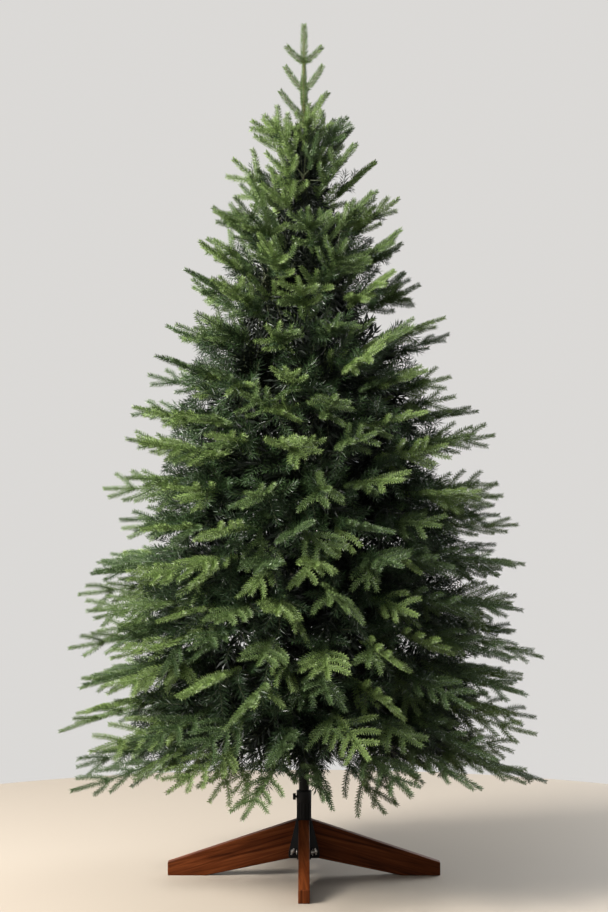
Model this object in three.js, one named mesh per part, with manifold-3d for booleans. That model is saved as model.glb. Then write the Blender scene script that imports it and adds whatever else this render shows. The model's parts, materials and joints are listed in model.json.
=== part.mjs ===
// A full-height artificial Christmas tree on a four-legged wooden stand.
//
// A steel pole stands in a socket that clasps four wooden legs. Boughs reach out of the pole in
// six tiers, and each carries one mass of needles: a core, and toothed sprigs that stand out of
// it as far as the crown's outline. A leader finishes the top. Millimetres, +Z up, and the
// origin is on the floor under the pole. The front leg points along -Y.
import * as THREE from "three";
import { mergeVertices } from "three/addons/utils/BufferGeometryUtils.js";
import Module from "manifold-3d";

const wasm = await Module();
wasm.setup();
const { Manifold } = wasm;

// ---------------------------------------------------------------- driving dimensions
const HEIGHT = 2100; // floor to the tip of the leader
const WIDEST = 604; // crown radius at its widest
const WIDEST_Z = 320; // height of the widest tips
const PROFILE_POWER = 1.75; // how full the crown's profile is
const UNDERCUT = 0.25; // how fast the crown draws in below its widest tips
const CLEAR = 0.3; // gap between pieces that touch

const LOWEST_TIP_Z = 262; // tip height of the lowest row of sprigs
const ROW_STEP = 100; // height between rows of sprig tips
const ELEVATION_LOW = -16; // degrees, the slope of the lowest boughs
const ELEVATION_HIGH = 48; // degrees, the slope of the highest boughs
const ELEVATION_POWER = 1.5; // how late the slope changes on the way up

// Each tier: its number of sectors, its rows of sprigs, the sprigs of a row in one sector, and
// how far its first sector is turned from the front, in degrees.
const TIERS = [
  { sectors: 5, rows: 3, columns: 4, turn: 0 },
  { sectors: 5, rows: 3, columns: 4, turn: 36 },
  { sectors: 5, rows: 3, columns: 3, turn: 0 },
  { sectors: 4, rows: 3, columns: 3, turn: 20 },
  { sectors: 3, rows: 3, columns: 3, turn: 50 },
  { sectors: 2, rows: 2, columns: 3, turn: 0 },
];
const rowsBelow = (tier) =>
  TIERS.slice(0, tier).reduce((sum, { rows }) => sum + rows, 0);
const rowZ = (row) => LOWEST_TIP_Z + ROW_STEP * row;
const TOP_ROW_Z = rowZ(rowsBelow(TIERS.length) - 1);

const POLE_R = 12.5;
const POLE_TOP_R = 8;
const POLE_STEPS_Z = [900, 1480]; // where a thinner length of pole begins
const POLE_TOP_Z = 1838;
const POLE_SIDES = 12;

const SOCKET_R = 16.5;
const SOCKET_TOP_Z = 207;
const SOCKET_FLOOR_Z = 41;
const SOCKET_FLOOR = 4;
const SOCKET_RIM = 1.8; // how far the rim stands out of the socket
const SOCKET_RIM_HEIGHT = 29;
const SOCKET_SIDES = 16;

const LEG_REACH = 335; // pole axis to the end of a foot
const LEG_THICKNESS = 27;
const LEG_ROOT_TOP_Z = 137;
const LEG_ROOT_BOTTOM_Z = 46;
const LEG_FOOT_HEIGHT = 32;
const LEG_FOOT_START = 240; // where the underside comes down to the floor

const PLATE_THICKNESS = 3;
const PLATE_BOTTOM_Z = 43;
const PLATE_LIP = 14;
const PLATE_TOP_OUT = 19;
const PLATE_BOTTOM_OUT = 38;
const BOLT_OUT = 28; // pole axis to the bolt's axis
const BOLT_Z = 60;
const BOLT_R = 3.5;
const SCREW_Z = 192;
const SCREW_R = 3;

const CORE_SHARE = 0.58; // a core's outer radius, as a share of the crown's
const CORE_BULGE = 0.08; // how much further its waist stands out
const CORE_TAPER = 0.05; // how much less its top edge stands out
const CORE_INNER_SHARE = 0.3;
const CORE_SHARE_NOISE = 0.04;
const CORE_STEPS = { 5: 3, 4: 3, 3: 4, 2: 6 }; // facets of a core, by its tier's sectors
const SPRIG_SUNK = 0.06; // how far a sprig's root lies inside a core
const BOUGH_STOP = 14; // from a bough's tip to the core
const STEM_SUNK = 30; // how far a mass's stem goes on into its core
const SECTOR_GAP = 0.6; // degrees left free at each side of a sector
const TIER_GAP = 2.5; // height left free over and under a core

const BOUGH_R = 2.2;
const BOUGH_R_SHARE = 0.005; // more thickness, as a share of the crown's radius

const LEADER_TIP = 100;
const LEADER_NEEDLES_R = 10;
// Each pair of shoots: its height below the tip, azimuth, length, and slope.
const LEADER_SHOOTS = [
  [100, 4, 62, 42],
  [171, -8, 82, 53],
  [205, 88, 84, 48],
  [236, 10, 92, 47],
];

const SEED = 20240;

// ---------------------------------------------------------------- small helpers
const radians = THREE.MathUtils.degToRad;
const Z_UP = new THREE.Vector3(0, 0, 1);

// Numbers from 0 to 1 that are the same on every run.
function dice(seed) {
  let state = seed;
  const roll = () => (state = (state * 48271) % 2147483647) / 2147483647;
  for (let i = 0; i < 4; i++) roll();
  return roll;
}

// A point at a radius, an azimuth and a height.
const polar = (r, azimuth, z) =>
  new THREE.Vector3(r * Math.cos(azimuth), r * Math.sin(azimuth), z);

const solidOfArrays = (vertProperties, triVerts) =>
  new Manifold(new wasm.Mesh({ numProp: 3, vertProperties, triVerts }));

// A solid from a list of points and a list of triangles that all wind the same way.
function solidOf(points, triangles) {
  const solid = solidOfArrays(
    new Float32Array(points.flatMap((point) => point.toArray())),
    new Uint32Array(triangles.flat()),
  );
  const inwards = solid.volume() < 0;
  return inwards
    ? solidOf(
        points,
        triangles.map(([a, b, c]) => [a, c, b]),
      )
    : solid;
}

// A solid from a closed three.js geometry.
function solidFrom(geometry) {
  const bare = geometry.clone();
  bare.deleteAttribute("normal");
  bare.deleteAttribute("uv");
  const merged = mergeVertices(bare, 1e-4);
  return solidOfArrays(
    new Float32Array(merged.attributes.position.array),
    new Uint32Array(merged.index.array),
  );
}

function geometryFrom(solid) {
  const { vertProperties, triVerts } = solid.getMesh();
  const geometry = new THREE.BufferGeometry();
  geometry.setAttribute(
    "position",
    new THREE.BufferAttribute(new Float32Array(vertProperties), 3),
  );
  geometry.setIndex(new THREE.BufferAttribute(new Uint32Array(triVerts), 1));
  return geometry;
}

const join = (solids) => solids.reduce((whole, one) => whole.add(one));

// A round bar between two points, with a radius at each end.
function bar(from, to, r0, r1, sides) {
  const along = to.clone().sub(from);
  const geometry = new THREE.CylinderGeometry(r1, r0, along.length(), sides);
  const turn = new THREE.Quaternion().setFromUnitVectors(
    new THREE.Vector3(0, 1, 0),
    along.clone().normalize(),
  );
  geometry.applyQuaternion(turn);
  geometry.translate(...from.clone().add(to).multiplyScalar(0.5).toArray());
  return solidFrom(geometry);
}

// A turned solid about the Z axis. The profile of [radius, height] pairs starts and ends on it.
function turned(profile, sides) {
  const points = [];
  const rings = profile.map(([r, z]) =>
    Array.from({ length: r > 0 ? sides : 1 }, (_, i) => {
      points.push(polar(r, (2 * Math.PI * i) / sides, z));
      return points.length - 1;
    }),
  );
  const triangles = [];
  for (let i = 1; i < rings.length; i++)
    for (let j = 0; j < sides; j++) {
      const [a, b] = [rings[i - 1], rings[i]];
      const k = (j + 1) % sides;
      if (a.length > 1) triangles.push([a[j], a[k], b[j % b.length]]);
      if (b.length > 1) triangles.push([a[k % a.length], b[k], b[j]]);
    }
  return solidOf(points, triangles);
}

// A spindle: a point at each end and its widest place two fifths of the way along.
function spindle(from, to, r, sides) {
  const along = to.clone().sub(from);
  const turn = new THREE.Quaternion().setFromUnitVectors(Z_UP, along.clone().normalize());
  const waist = from.clone().addScaledVector(along, 0.4);
  const ring = Array.from({ length: sides }, (_, i) =>
    polar(r, (2 * Math.PI * i) / sides, 0).applyQuaternion(turn).add(waist),
  );
  const triangles = ring.flatMap((_, i) => {
    const [a, b] = [2 + i, 2 + ((i + 1) % sides)];
    return [
      [0, b, a],
      [1, a, b],
    ];
  });
  return solidOf([from, to, ...ring], triangles);
}

// A plate with an outline of [out, z] pairs, upright along an azimuth and moved sideways.
function upright(outline, thickness, azimuth, sideways) {
  const shape = new THREE.Shape(outline.map(([x, z]) => new THREE.Vector2(x, z)));
  const geometry = new THREE.ExtrudeGeometry(shape, {
    depth: thickness,
    bevelEnabled: false,
  });
  geometry.rotateX(Math.PI / 2);
  geometry.translate(0, sideways + thickness / 2, 0);
  geometry.rotateZ(azimuth);
  return solidFrom(geometry);
}

// ---------------------------------------------------------------- the crown's outline
// Crown radius at a tip's height.
function reach(z) {
  const up = (z - WIDEST_Z) / (HEIGHT - WIDEST_Z);
  return up > 0
    ? WIDEST * (1 - up ** PROFILE_POWER)
    : WIDEST * (1 + UNDERCUT * up);
}

// Slope of a bough whose tip is at a height, in radians.
function elevation(z) {
  const up = Math.max(0, (z - LOWEST_TIP_Z) / (TOP_ROW_Z - LOWEST_TIP_Z));
  const degrees =
    ELEVATION_LOW + (ELEVATION_HIGH - ELEVATION_LOW) * up ** ELEVATION_POWER;
  return radians(degrees);
}

// Height, at a radius, of the sloping surface that the boughs with tips at tipZ lie in.
const layer = (tipZ, r) => tipZ - (reach(tipZ) - r) * Math.tan(elevation(tipZ));

// ---------------------------------------------------------------- the stand
const QUARTERS = { front: -90, right: 0, back: 90, left: 180 };
const PLATE_INSIDE = LEG_THICKNESS / 2 + CLEAR;
const PLATE_OUTSIDE = PLATE_INSIDE + PLATE_THICKNESS;
const LEG_ROOT = PLATE_OUTSIDE + CLEAR; // pole axis to the squared inner end of a leg

// The hole for the bolt of the leg at an azimuth.
function boltHole(azimuth) {
  const along = polar(40, azimuth + Math.PI / 2, 0);
  const middle = polar(BOLT_OUT, azimuth, BOLT_Z);
  const r = BOLT_R + CLEAR;
  return bar(middle.clone().sub(along), middle.clone().add(along), r, r, 8);
}

function leg() {
  const outline = [
    [LEG_ROOT, LEG_ROOT_BOTTOM_Z],
    [LEG_FOOT_START, 0],
    [LEG_REACH, 0],
    [LEG_REACH, LEG_FOOT_HEIGHT],
    [LEG_ROOT, LEG_ROOT_TOP_Z],
  ];
  return upright(outline, LEG_THICKNESS, 0, 0).subtract(boltHole(0));
}

// The pair of plates that run across the stand along an azimuth and clasp two opposite legs.
function clasp(azimuth) {
  const lip = PLATE_BOTTOM_Z + PLATE_LIP;
  const outline = [
    [-PLATE_BOTTOM_OUT, PLATE_BOTTOM_Z],
    [PLATE_BOTTOM_OUT, PLATE_BOTTOM_Z],
    [PLATE_BOTTOM_OUT, lip],
    [PLATE_TOP_OUT, LEG_ROOT_TOP_Z],
    [-PLATE_TOP_OUT, LEG_ROOT_TOP_Z],
    [-PLATE_BOTTOM_OUT, lip],
  ];
  const middle = (PLATE_INSIDE + PLATE_OUTSIDE) / 2;
  return join(
    [-middle, middle].map((y) => upright(outline, PLATE_THICKNESS, azimuth, y)),
  )
    .subtract(boltHole(azimuth))
    .subtract(boltHole(azimuth + Math.PI));
}

// A bolt through one leg and its plates, with a low round head and a wing nut.
function bolt() {
  const face = PLATE_OUTSIDE + CLEAR;
  const at = (y, z = BOLT_Z) => new THREE.Vector3(BOLT_OUT, y, z);
  const shank = bar(at(-face - 7), at(face + 1), BOLT_R, BOLT_R, 8);
  const head = bar(at(face), at(face + 3), 6.5, 4.5, 8);
  const nut = bar(at(-face - 5), at(-face), 4.2, 5.6, 6);
  const wings = bar(at(-face - 4, BOLT_Z - 8), at(-face - 4, BOLT_Z + 8), 2.2, 2.2, 6);
  return join([shank, head, nut, wings]);
}

function socket() {
  const rimR = SOCKET_R + SOCKET_RIM;
  const rimZ = SOCKET_TOP_Z - SOCKET_RIM_HEIGHT;
  const body = turned(
    [
      [0, SOCKET_FLOOR_Z],
      [SOCKET_R, SOCKET_FLOOR_Z],
      [SOCKET_R, rimZ],
      [rimR, rimZ],
      [rimR, SOCKET_TOP_Z],
      [0, SOCKET_TOP_Z],
    ],
    SOCKET_SIDES,
  );
  const bore = turned(
    [
      [0, SOCKET_FLOOR_Z + SOCKET_FLOOR],
      [POLE_R + CLEAR, SOCKET_FLOOR_Z + SOCKET_FLOOR],
      [POLE_R + CLEAR, SOCKET_TOP_Z + 1],
      [0, SOCKET_TOP_Z + 1],
    ],
    POLE_SIDES,
  );
  const screwHole = bar(
    new THREE.Vector3(-40, 0, SCREW_Z),
    new THREE.Vector3(0, 0, SCREW_Z),
    SCREW_R + CLEAR,
    SCREW_R + CLEAR,
    8,
  );
  return join([body, clasp(0), clasp(Math.PI / 2)])
    .subtract(bore)
    .subtract(screwHole);
}

// The thumbscrew that holds the pole in the socket.
function clampScrew() {
  const at = (x) => new THREE.Vector3(-x, 0, SCREW_Z);
  const knobAt = SOCKET_R + SOCKET_RIM + 2;
  const shank = bar(at(POLE_R + CLEAR), at(knobAt + 1), SCREW_R, SCREW_R, 8);
  const knob = bar(at(knobAt), at(knobAt + 7), 8.5, 7, 10);
  return shank.add(knob);
}

// ---------------------------------------------------------------- the pole
// The pole's profile, with all its radii grown by a margin.
function poleSolid(margin) {
  const [first, second] = POLE_STEPS_Z;
  const middleR = (POLE_R + POLE_TOP_R) / 2;
  const foot = SOCKET_FLOOR_Z + SOCKET_FLOOR + CLEAR;
  return turned(
    [
      [0, foot],
      [POLE_R + margin, foot],
      [POLE_R + margin, first],
      [middleR + margin, first + 6],
      [middleR + margin, second],
      [POLE_TOP_R + margin, second + 6],
      [POLE_TOP_R + margin, POLE_TOP_Z],
      [0, POLE_TOP_Z],
    ],
    POLE_SIDES,
  );
}
const poleSpace = poleSolid(CLEAR);

// ---------------------------------------------------------------- sprigs
const LONG_SPRIG = 200; // a longer sprig has three pairs of shoots, and others two
const SHOOT_ANGLE = radians(38); // between a side shoot and its sprig's stem
const FIRST_SHOOT = 0.26; // where the first pair leaves, as a share of the sprig's length
const BLADE_HALF_THICKNESS = 5;

// The plan of one sprig: where its pairs of shoots leave the stem, and how long they are.
function sprigPlan(length, pairs) {
  const step = (pairs === 3 ? 0.15 : 0.2) * length;
  const shoot = THREE.MathUtils.clamp(0.38 * length, 46, 96);
  return Array.from({ length: pairs + 1 }, (_, i) => ({
    at: FIRST_SHOOT * length + i * step,
    shoot: shoot * (1 - 0.1 * i),
    step,
  }));
}

// One sprig as a thin toothed blade. Its teeth are the side shoots.
function sprigSolid({ root, tip, bend, roll, cup, pairs }) {
  const reachTo = tip.clone().sub(root).addScaledVector(Z_UP, -bend);
  const length = reachTo.length();
  const along = reachTo.normalize();
  const up = Z_UP.clone().applyAxisAngle(along, roll);
  const side = along.clone().cross(up).normalize();
  const normal = side.clone().cross(along);
  const place = (s, w, h) =>
    root
      .clone()
      .addScaledVector(along, s)
      .addScaledVector(side, w)
      .addScaledVector(normal, h + cup * Math.abs(w))
      .addScaledVector(Z_UP, bend * (s / length) ** 2);

  const plan = sprigPlan(length, pairs);
  const valley = 0.032 * length + 3;
  const points = [place(0, 0, 0), place(length, 0, 0)];
  const add = (point) => points.push(point) - 1;
  const spine = [1, -1].map((sign) =>
    plan
      .slice(0, pairs)
      .map(({ at, step }) => add(place(at + 0.3 * step, 0, sign * BLADE_HALF_THICKNESS))),
  );
  const outline = [1, -1].map((hand) => ({
    valleys: plan.map(({ at }) => add(place(at, hand * valley, 0))),
    teeth: plan
      .slice(0, pairs)
      .map(({ at, shoot }) =>
        add(
          place(
            at + shoot * Math.cos(SHOOT_ANGLE),
            hand * shoot * Math.sin(SHOOT_ANGLE),
            0,
          ),
        ),
      ),
  }));

  const triangles = [];
  spine.forEach((ridge, face) =>
    outline.forEach(({ valleys, teeth }, hand) => {
      const push = (a, b, c) =>
        triangles.push(face === hand ? [a, c, b] : [a, b, c]);
      push(0, valleys[0], ridge[0]);
      ridge.forEach((crest, i) => {
        push(crest, valleys[i], teeth[i]);
        push(crest, teeth[i], valleys[i + 1]);
        push(crest, valleys[i + 1], i + 1 < pairs ? ridge[i + 1] : 1);
      });
    }),
  );
  return solidOf(points, triangles);
}

// ---------------------------------------------------------------- the masses of needles
// The space of one mass: its sector, the heights of its first and last rows, and its radii.
function spaceOf(tier, sector) {
  const { sectors, rows, turn } = TIERS[tier];
  const width = (2 * Math.PI) / sectors;
  const from = radians(turn - 90) + (sector - 0.5) * width;
  const lowZ = rowZ(rowsBelow(tier) - 0.5);
  const highZ = rowZ(rowsBelow(tier) + rows - 0.5);
  const middleZ = (lowZ + highZ) / 2;
  const inner = Math.max(CORE_INNER_SHARE * reach(middleZ), POLE_R + 22);
  return { from, width, middle: from + width / 2, lowZ, highZ, middleZ, inner };
}

// A core: a ring segment with five sides that follows the slope of its boughs.
function core(tier, sector, roll) {
  const { from, width, lowZ, highZ, middleZ, inner } = spaceOf(tier, sector);
  const low = (r) => layer(lowZ, r) + TIER_GAP;
  const high = (r) => layer(highZ, r) - TIER_GAP;
  const steps = CORE_STEPS[TIERS[tier].sectors];
  const gap = radians(SECTOR_GAP);
  const rings = Array.from({ length: steps + 1 }, (_, i) => {
    const azimuth = from + gap + ((width - 2 * gap) * i) / steps;
    const share = CORE_SHARE + CORE_SHARE_NOISE * roll();
    const [below, above] = [share * reach(lowZ), (share - CORE_TAPER) * reach(highZ)];
    const waist = (share + CORE_BULGE) * reach(middleZ);
    return [
      [inner, low(inner)],
      [below, low(below)],
      [waist, (low(waist) + high(waist)) / 2],
      [above, high(above)],
      [inner, high(inner)],
    ].map(([r, z]) => polar(r, azimuth, z));
  });
  const around = rings[0].length;
  const triangles = [];
  for (let i = 0; i < steps; i++)
    for (let j = 0; j < around; j++) {
      const [a, b] = [i * around + j, i * around + ((j + 1) % around)];
      triangles.push([a, b, a + around], [b, b + around, a + around]);
    }
  for (let j = 1; j < around - 1; j++) {
    triangles.push([0, j + 1, j]);
    triangles.push([steps * around, steps * around + j, steps * around + j + 1]);
  }
  return solidOf(rings.flat(), triangles);
}

// Where the sprigs of one mass start and end. The draws from the dice keep one order.
function sprigsOf(tier, sector, roll) {
  const { rows, columns } = TIERS[tier];
  const { from, width, middle } = spaceOf(tier, sector);
  const sprigs = [];
  for (let row = 0; row < rows; row++)
    for (let column = 0; column < columns; column++) {
      const stagger = row % 2 ? 0.2 : -0.2;
      const share = (column + 0.5 + stagger + 0.3 * (roll() - 0.5)) / columns;
      const azimuth = from + width * share;
      const tipZ = rowZ(rowsBelow(tier) + row) + 0.55 * ROW_STEP * (roll() - 0.5);
      const tipR = reach(tipZ) * (1 - 0.15 * roll() ** 1.5);
      const rootR = (CORE_SHARE - SPRIG_SUNK) * reach(tipZ);
      const rootAzimuth = middle + 0.9 * (azimuth - middle);
      const root = polar(rootR, rootAzimuth, layer(tipZ, rootR));
      const tip = polar(tipR, azimuth, layer(tipZ, tipR));
      const bend = 0.2 * (roll() - 0.45) * (tipR - rootR);
      sprigs.push({
        root,
        tip,
        bend,
        roll: radians(110 * (roll() - 0.5)),
        cup: 0.5 * (roll() - 0.5),
        pairs: tipR - rootR > LONG_SPRIG ? 3 : 2,
      });
    }
  return sprigs;
}

// The bough of one mass, and the stem in the mass that goes on from the bough's tip.
function limbOf(tier, sector) {
  const { middle, middleZ, inner } = spaceOf(tier, sector);
  const at = (r) => polar(r, middle, layer(middleZ, r));
  const end = inner - BOUGH_STOP;
  const ahead = at(inner).sub(at(end)).normalize();
  const thick = BOUGH_R + BOUGH_R_SHARE * reach(middleZ);
  const bough = bar(at(0), at(end), thick, 0.8 * thick, 6).subtract(poleSpace);
  const stemStart = at(end).addScaledVector(ahead, CLEAR);
  const stem = bar(stemStart, at(inner + STEM_SUNK), 0.8 * thick, 0.6 * thick, 6);
  return { bough, stem };
}

// The leader goes on from the pole, with pairs of shoots up to its tip.
function leader() {
  const root = new THREE.Vector3(0, 0, POLE_TOP_Z + CLEAR);
  const fork = new THREE.Vector3(0, 0, HEIGHT - LEADER_TIP);
  const tip = spindle(
    fork.clone().addScaledVector(Z_UP, -12),
    new THREE.Vector3(0, 0, HEIGHT),
    LEADER_NEEDLES_R,
    6,
  );
  const shoots = LEADER_SHOOTS.flatMap(([down, degrees, length, slope]) =>
    [degrees, degrees + 180].map((turn) => {
      const from = new THREE.Vector3(0, 0, HEIGHT - down);
      const out = polar(
        length * Math.cos(radians(slope)),
        radians(turn),
        length * Math.sin(radians(slope)),
      );
      return spindle(from, from.clone().add(out), 0.85 * LEADER_NEEDLES_R, 4);
    }),
  );
  return join([bar(root, fork, POLE_TOP_R - 1, 3, 6), tip, ...shoots]);
}

// ---------------------------------------------------------------- putting it together
const finishes = {
  pole: { color: 0x17201b, roughness: 0.5, metalness: 0.6 },
  socket: { color: 0x14120f, roughness: 0.45, metalness: 0.7 },
  walnut: { color: 0x6b3a22, roughness: 0.55, metalness: 0 },
  steel: { color: 0xb9b6ae, roughness: 0.35, metalness: 0.9 },
  bough: { color: 0x3d3a22, roughness: 0.8, metalness: 0 },
  needles: { color: 0x3c5a2c, roughness: 0.65, metalness: 0 },
};

const tree = new THREE.Group();

function place(name, solid, finish) {
  const mesh = new THREE.Mesh(
    geometryFrom(solid),
    new THREE.MeshStandardMaterial(finishes[finish]),
  );
  mesh.name = name;
  tree.add(mesh);
  return mesh;
}

place("pole", poleSolid(0), "pole");
place("stand_socket", socket(), "socket");
place("clamp_screw", clampScrew(), "socket");
for (const [name, degrees] of Object.entries(QUARTERS)) {
  place("leg_" + name, leg(), "walnut").rotation.z = radians(degrees);
  place("bolt_" + name, bolt(), "steel").rotation.z = radians(degrees);
}

const masses = TIERS.flatMap(({ sectors }, tier) =>
  Array.from({ length: sectors }, (_, sector) => {
    const roll = dice(SEED + 100 * tier + 7 * sector);
    const { bough, stem } = limbOf(tier, sector);
    return {
      name: `${tier + 1}_${sector + 1}`,
      bough,
      body: core(tier, sector, roll).add(stem),
      sprigs: sprigsOf(tier, sector, roll).map(sprigSolid),
      kept: [],
    };
  }),
);
const top = leader();

const boxesMeet = (a, b) =>
  [0, 1, 2].every((i) => a.min[i] < b.max[i] + 1 && b.min[i] < a.max[i] + 1);
const meets = (a, b) =>
  boxesMeet(a.boundingBox(), b.boundingBox()) && a.minGap(b, 1) < CLEAR;

// A sprig that would touch another mass is skipped.
for (const mass of masses) {
  const others = masses.filter((other) => other !== mass);
  for (const sprig of mass.sprigs) {
    const blocked =
      meets(sprig, top) ||
      others.some(
        ({ body, kept }) => meets(sprig, body) || kept.some((one) => meets(sprig, one)),
      );
    if (!blocked) mass.kept.push(sprig);
  }
}

for (const { name, bough, body, kept } of masses) {
  place("bough_" + name, bough, "bough");
  place("needles_" + name, join([body, ...kept]), "needles");
}
place("leader", top, "needles");

export default tree;
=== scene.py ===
# %% [markdown]
# # An artificial fir tree on a wooden cross stand
#
# The tree is about two metres tall: a dark steel pole, tiers of wired boughs with moulded plastic
# needles, and a stand of four walnut boards held by a black bracket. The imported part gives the
# sizes and the collision solids. This lesson dresses it: the stand first, because everything
# is carried by it, then the pole, and then the crown, which one rule grows from bough to needle.

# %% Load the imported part
import json
import math

import bmesh
import bpy
import numpy as np
from mathutils import Matrix, Vector

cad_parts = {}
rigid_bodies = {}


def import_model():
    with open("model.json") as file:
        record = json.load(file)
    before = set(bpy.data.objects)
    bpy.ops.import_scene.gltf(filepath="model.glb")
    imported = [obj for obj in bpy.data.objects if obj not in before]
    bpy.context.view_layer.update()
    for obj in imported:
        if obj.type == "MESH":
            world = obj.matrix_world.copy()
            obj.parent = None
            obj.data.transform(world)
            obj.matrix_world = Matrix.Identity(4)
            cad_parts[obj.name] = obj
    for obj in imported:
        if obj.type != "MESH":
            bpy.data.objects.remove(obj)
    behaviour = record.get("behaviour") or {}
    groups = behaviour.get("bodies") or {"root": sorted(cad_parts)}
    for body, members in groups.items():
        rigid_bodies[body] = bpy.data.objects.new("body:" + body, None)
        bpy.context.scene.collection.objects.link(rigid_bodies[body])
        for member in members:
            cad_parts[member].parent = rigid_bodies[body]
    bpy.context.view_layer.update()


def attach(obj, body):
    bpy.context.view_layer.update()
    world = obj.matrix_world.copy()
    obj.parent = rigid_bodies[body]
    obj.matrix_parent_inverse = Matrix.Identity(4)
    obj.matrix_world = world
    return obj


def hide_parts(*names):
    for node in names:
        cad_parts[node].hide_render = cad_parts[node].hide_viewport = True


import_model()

# %% [markdown]
# ## The room
#
# A dense dark tree reads best in soft daylight that comes from one side, in front of a pale
# wall. A wide disc is the floor and the world is the wall, so nothing stands in the way when
# the tree is looked at from the back.

# %% Camera
SENSOR = 36.0
EYE_DISTANCE = 5.0
EYE_HEIGHT = 1.0155
LENS = 80.1
LOOK_UP = math.radians(0.17)

camera_data = bpy.data.cameras.new("camera")
camera_data.sensor_width = SENSOR
camera_data.lens = LENS
camera = bpy.data.objects.new("camera", camera_data)
camera.location = (0, -EYE_DISTANCE, EYE_HEIGHT)
camera.rotation_euler = (math.pi / 2 + LOOK_UP, 0, 0)
bpy.context.scene.collection.objects.link(camera)
bpy.context.scene.camera = camera
bpy.context.scene.view_settings.view_transform = "Standard"
print("camera", EYE_DISTANCE, "m away,", EYE_HEIGHT, "m up")


# %% Node helpers
def node(tree, kind, settings=None, **inputs):
    """A node whose settings and inputs are set. An input is a number or another socket."""
    made = tree.nodes.new(kind)
    for name, value in (settings or {}).items():
        setattr(made, name, value)
    for name, value in inputs.items():
        key = int(name[1:]) if name[0] == "i" and name[1:].isdigit() else name.replace("_", " ")
        socket = made.inputs[key]
        if isinstance(value, bpy.types.NodeSocket):
            tree.links.new(value, socket)
        else:
            socket.default_value = value
    return made


def maths(tree, operation, *values):
    """The result of a Math node on numbers or sockets."""
    inputs = {f"i{k}": value for k, value in enumerate(values)}
    return node(tree, "ShaderNodeMath", {"operation": operation}, **inputs).outputs[0]


def span(tree, value, low, high, from_low=0.0, from_high=1.0):
    """Maps a value from one range to another, and stays within it."""
    ranges = {"From_Min": from_low, "From_Max": from_high, "To_Min": low, "To_Max": high}
    return node(tree, "ShaderNodeMapRange", Value=value, **ranges).outputs[0]


def mixed(tree, share, first, second, blend="MIX"):
    """Two colours, mixed or multiplied."""
    settings = {"data_type": "RGBA", "blend_type": blend}
    return node(tree, "ShaderNodeMix", settings, i0=share, i6=first, i7=second).outputs[2]


# %% Material helpers
def new_material(name, color, roughness, metallic=0.0):
    """A plain material, its node tree and its shader."""
    made = bpy.data.materials.new(name)
    made.use_nodes = True
    shader = made.node_tree.nodes["Principled BSDF"]
    shader.inputs["Base Color"].default_value = (*color, 1)
    shader.inputs["Roughness"].default_value = roughness
    shader.inputs["Metallic"].default_value = metallic
    made.diffuse_color = (*color, 1)
    return made, made.node_tree, shader


def object_place(tree):
    return node(tree, "ShaderNodeTexCoord").outputs["Object"]


def noise(tree, place, scale, detail, **more):
    """A cloudy pattern from 0 to 1."""
    made = node(tree, "ShaderNodeTexNoise", Vector=place, Scale=scale, Detail=detail, **more)
    return made.outputs[0]


def set_gloss(tree, shader, pattern, *ranges):
    """A roughness that follows a pattern."""
    tree.links.new(span(tree, pattern, *ranges), shader.inputs["Roughness"])


def set_relief(tree, shader, pattern, strength, depth):
    """A bump that follows a pattern."""
    relief = node(tree, "ShaderNodeBump", Strength=strength, Distance=depth, Height=pattern)
    tree.links.new(relief.outputs[0], shader.inputs["Normal"])


# %% Floor, world and lights
FLOOR_RADIUS = 1.7
FLOOR_COLOR = (0.43, 0.37, 0.305)
FLOOR_BOUNCE = (0.12, 0.087, 0.06)
WALL_COLOR = (0.80, 0.785, 0.765)
WALL_STRENGTH = 0.885
FILL_STRENGTHS = (0.34, 0.08)
GLINT_STRENGTH = 0.6


def floor_material():
    """Pale to the eye, but it throws less light up at the crown than it shows."""
    made, tree, shader = new_material("pale floor", FLOOR_COLOR, 0.6)
    seen = node(tree, "ShaderNodeLightPath").outputs["Is Camera Ray"]
    color = mixed(tree, seen, (*FLOOR_BOUNCE, 1), (*FLOOR_COLOR, 1))
    tree.links.new(color, shader.inputs["Base Color"])
    return made


floor_mesh = bmesh.new()
bmesh.ops.create_circle(floor_mesh, cap_ends=True, radius=FLOOR_RADIUS, segments=128)
floor_data = bpy.data.meshes.new("floor")
floor_mesh.to_mesh(floor_data)
floor_mesh.free()
floor = bpy.data.objects.new("floor", floor_data)
floor_data.materials.append(floor_material())
bpy.context.scene.collection.objects.link(floor)

# The fill falls off from left to right. Glints mirror a brighter room, and the eye the wall.
world = bpy.data.worlds.new("pale room")
world.use_nodes = True
air = world.node_tree
sky = air.nodes["Background"]
sky.inputs["Color"].default_value = (*WALL_COLOR, 1)
ray = node(air, "ShaderNodeLightPath")
direction = node(air, "ShaderNodeTexCoord")
across = node(air, "ShaderNodeSeparateXYZ", Vector=direction.outputs["Generated"])
fill = span(air, across.outputs["X"], *FILL_STRENGTHS, -1.0, 1.0)
glint = span(air, ray.outputs["Is Glossy Ray"], fill, GLINT_STRENGTH)
strength = span(air, ray.outputs["Is Camera Ray"], glint, WALL_STRENGTH)
air.links.new(strength, sky.inputs["Strength"])
bpy.context.scene.world = world

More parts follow.
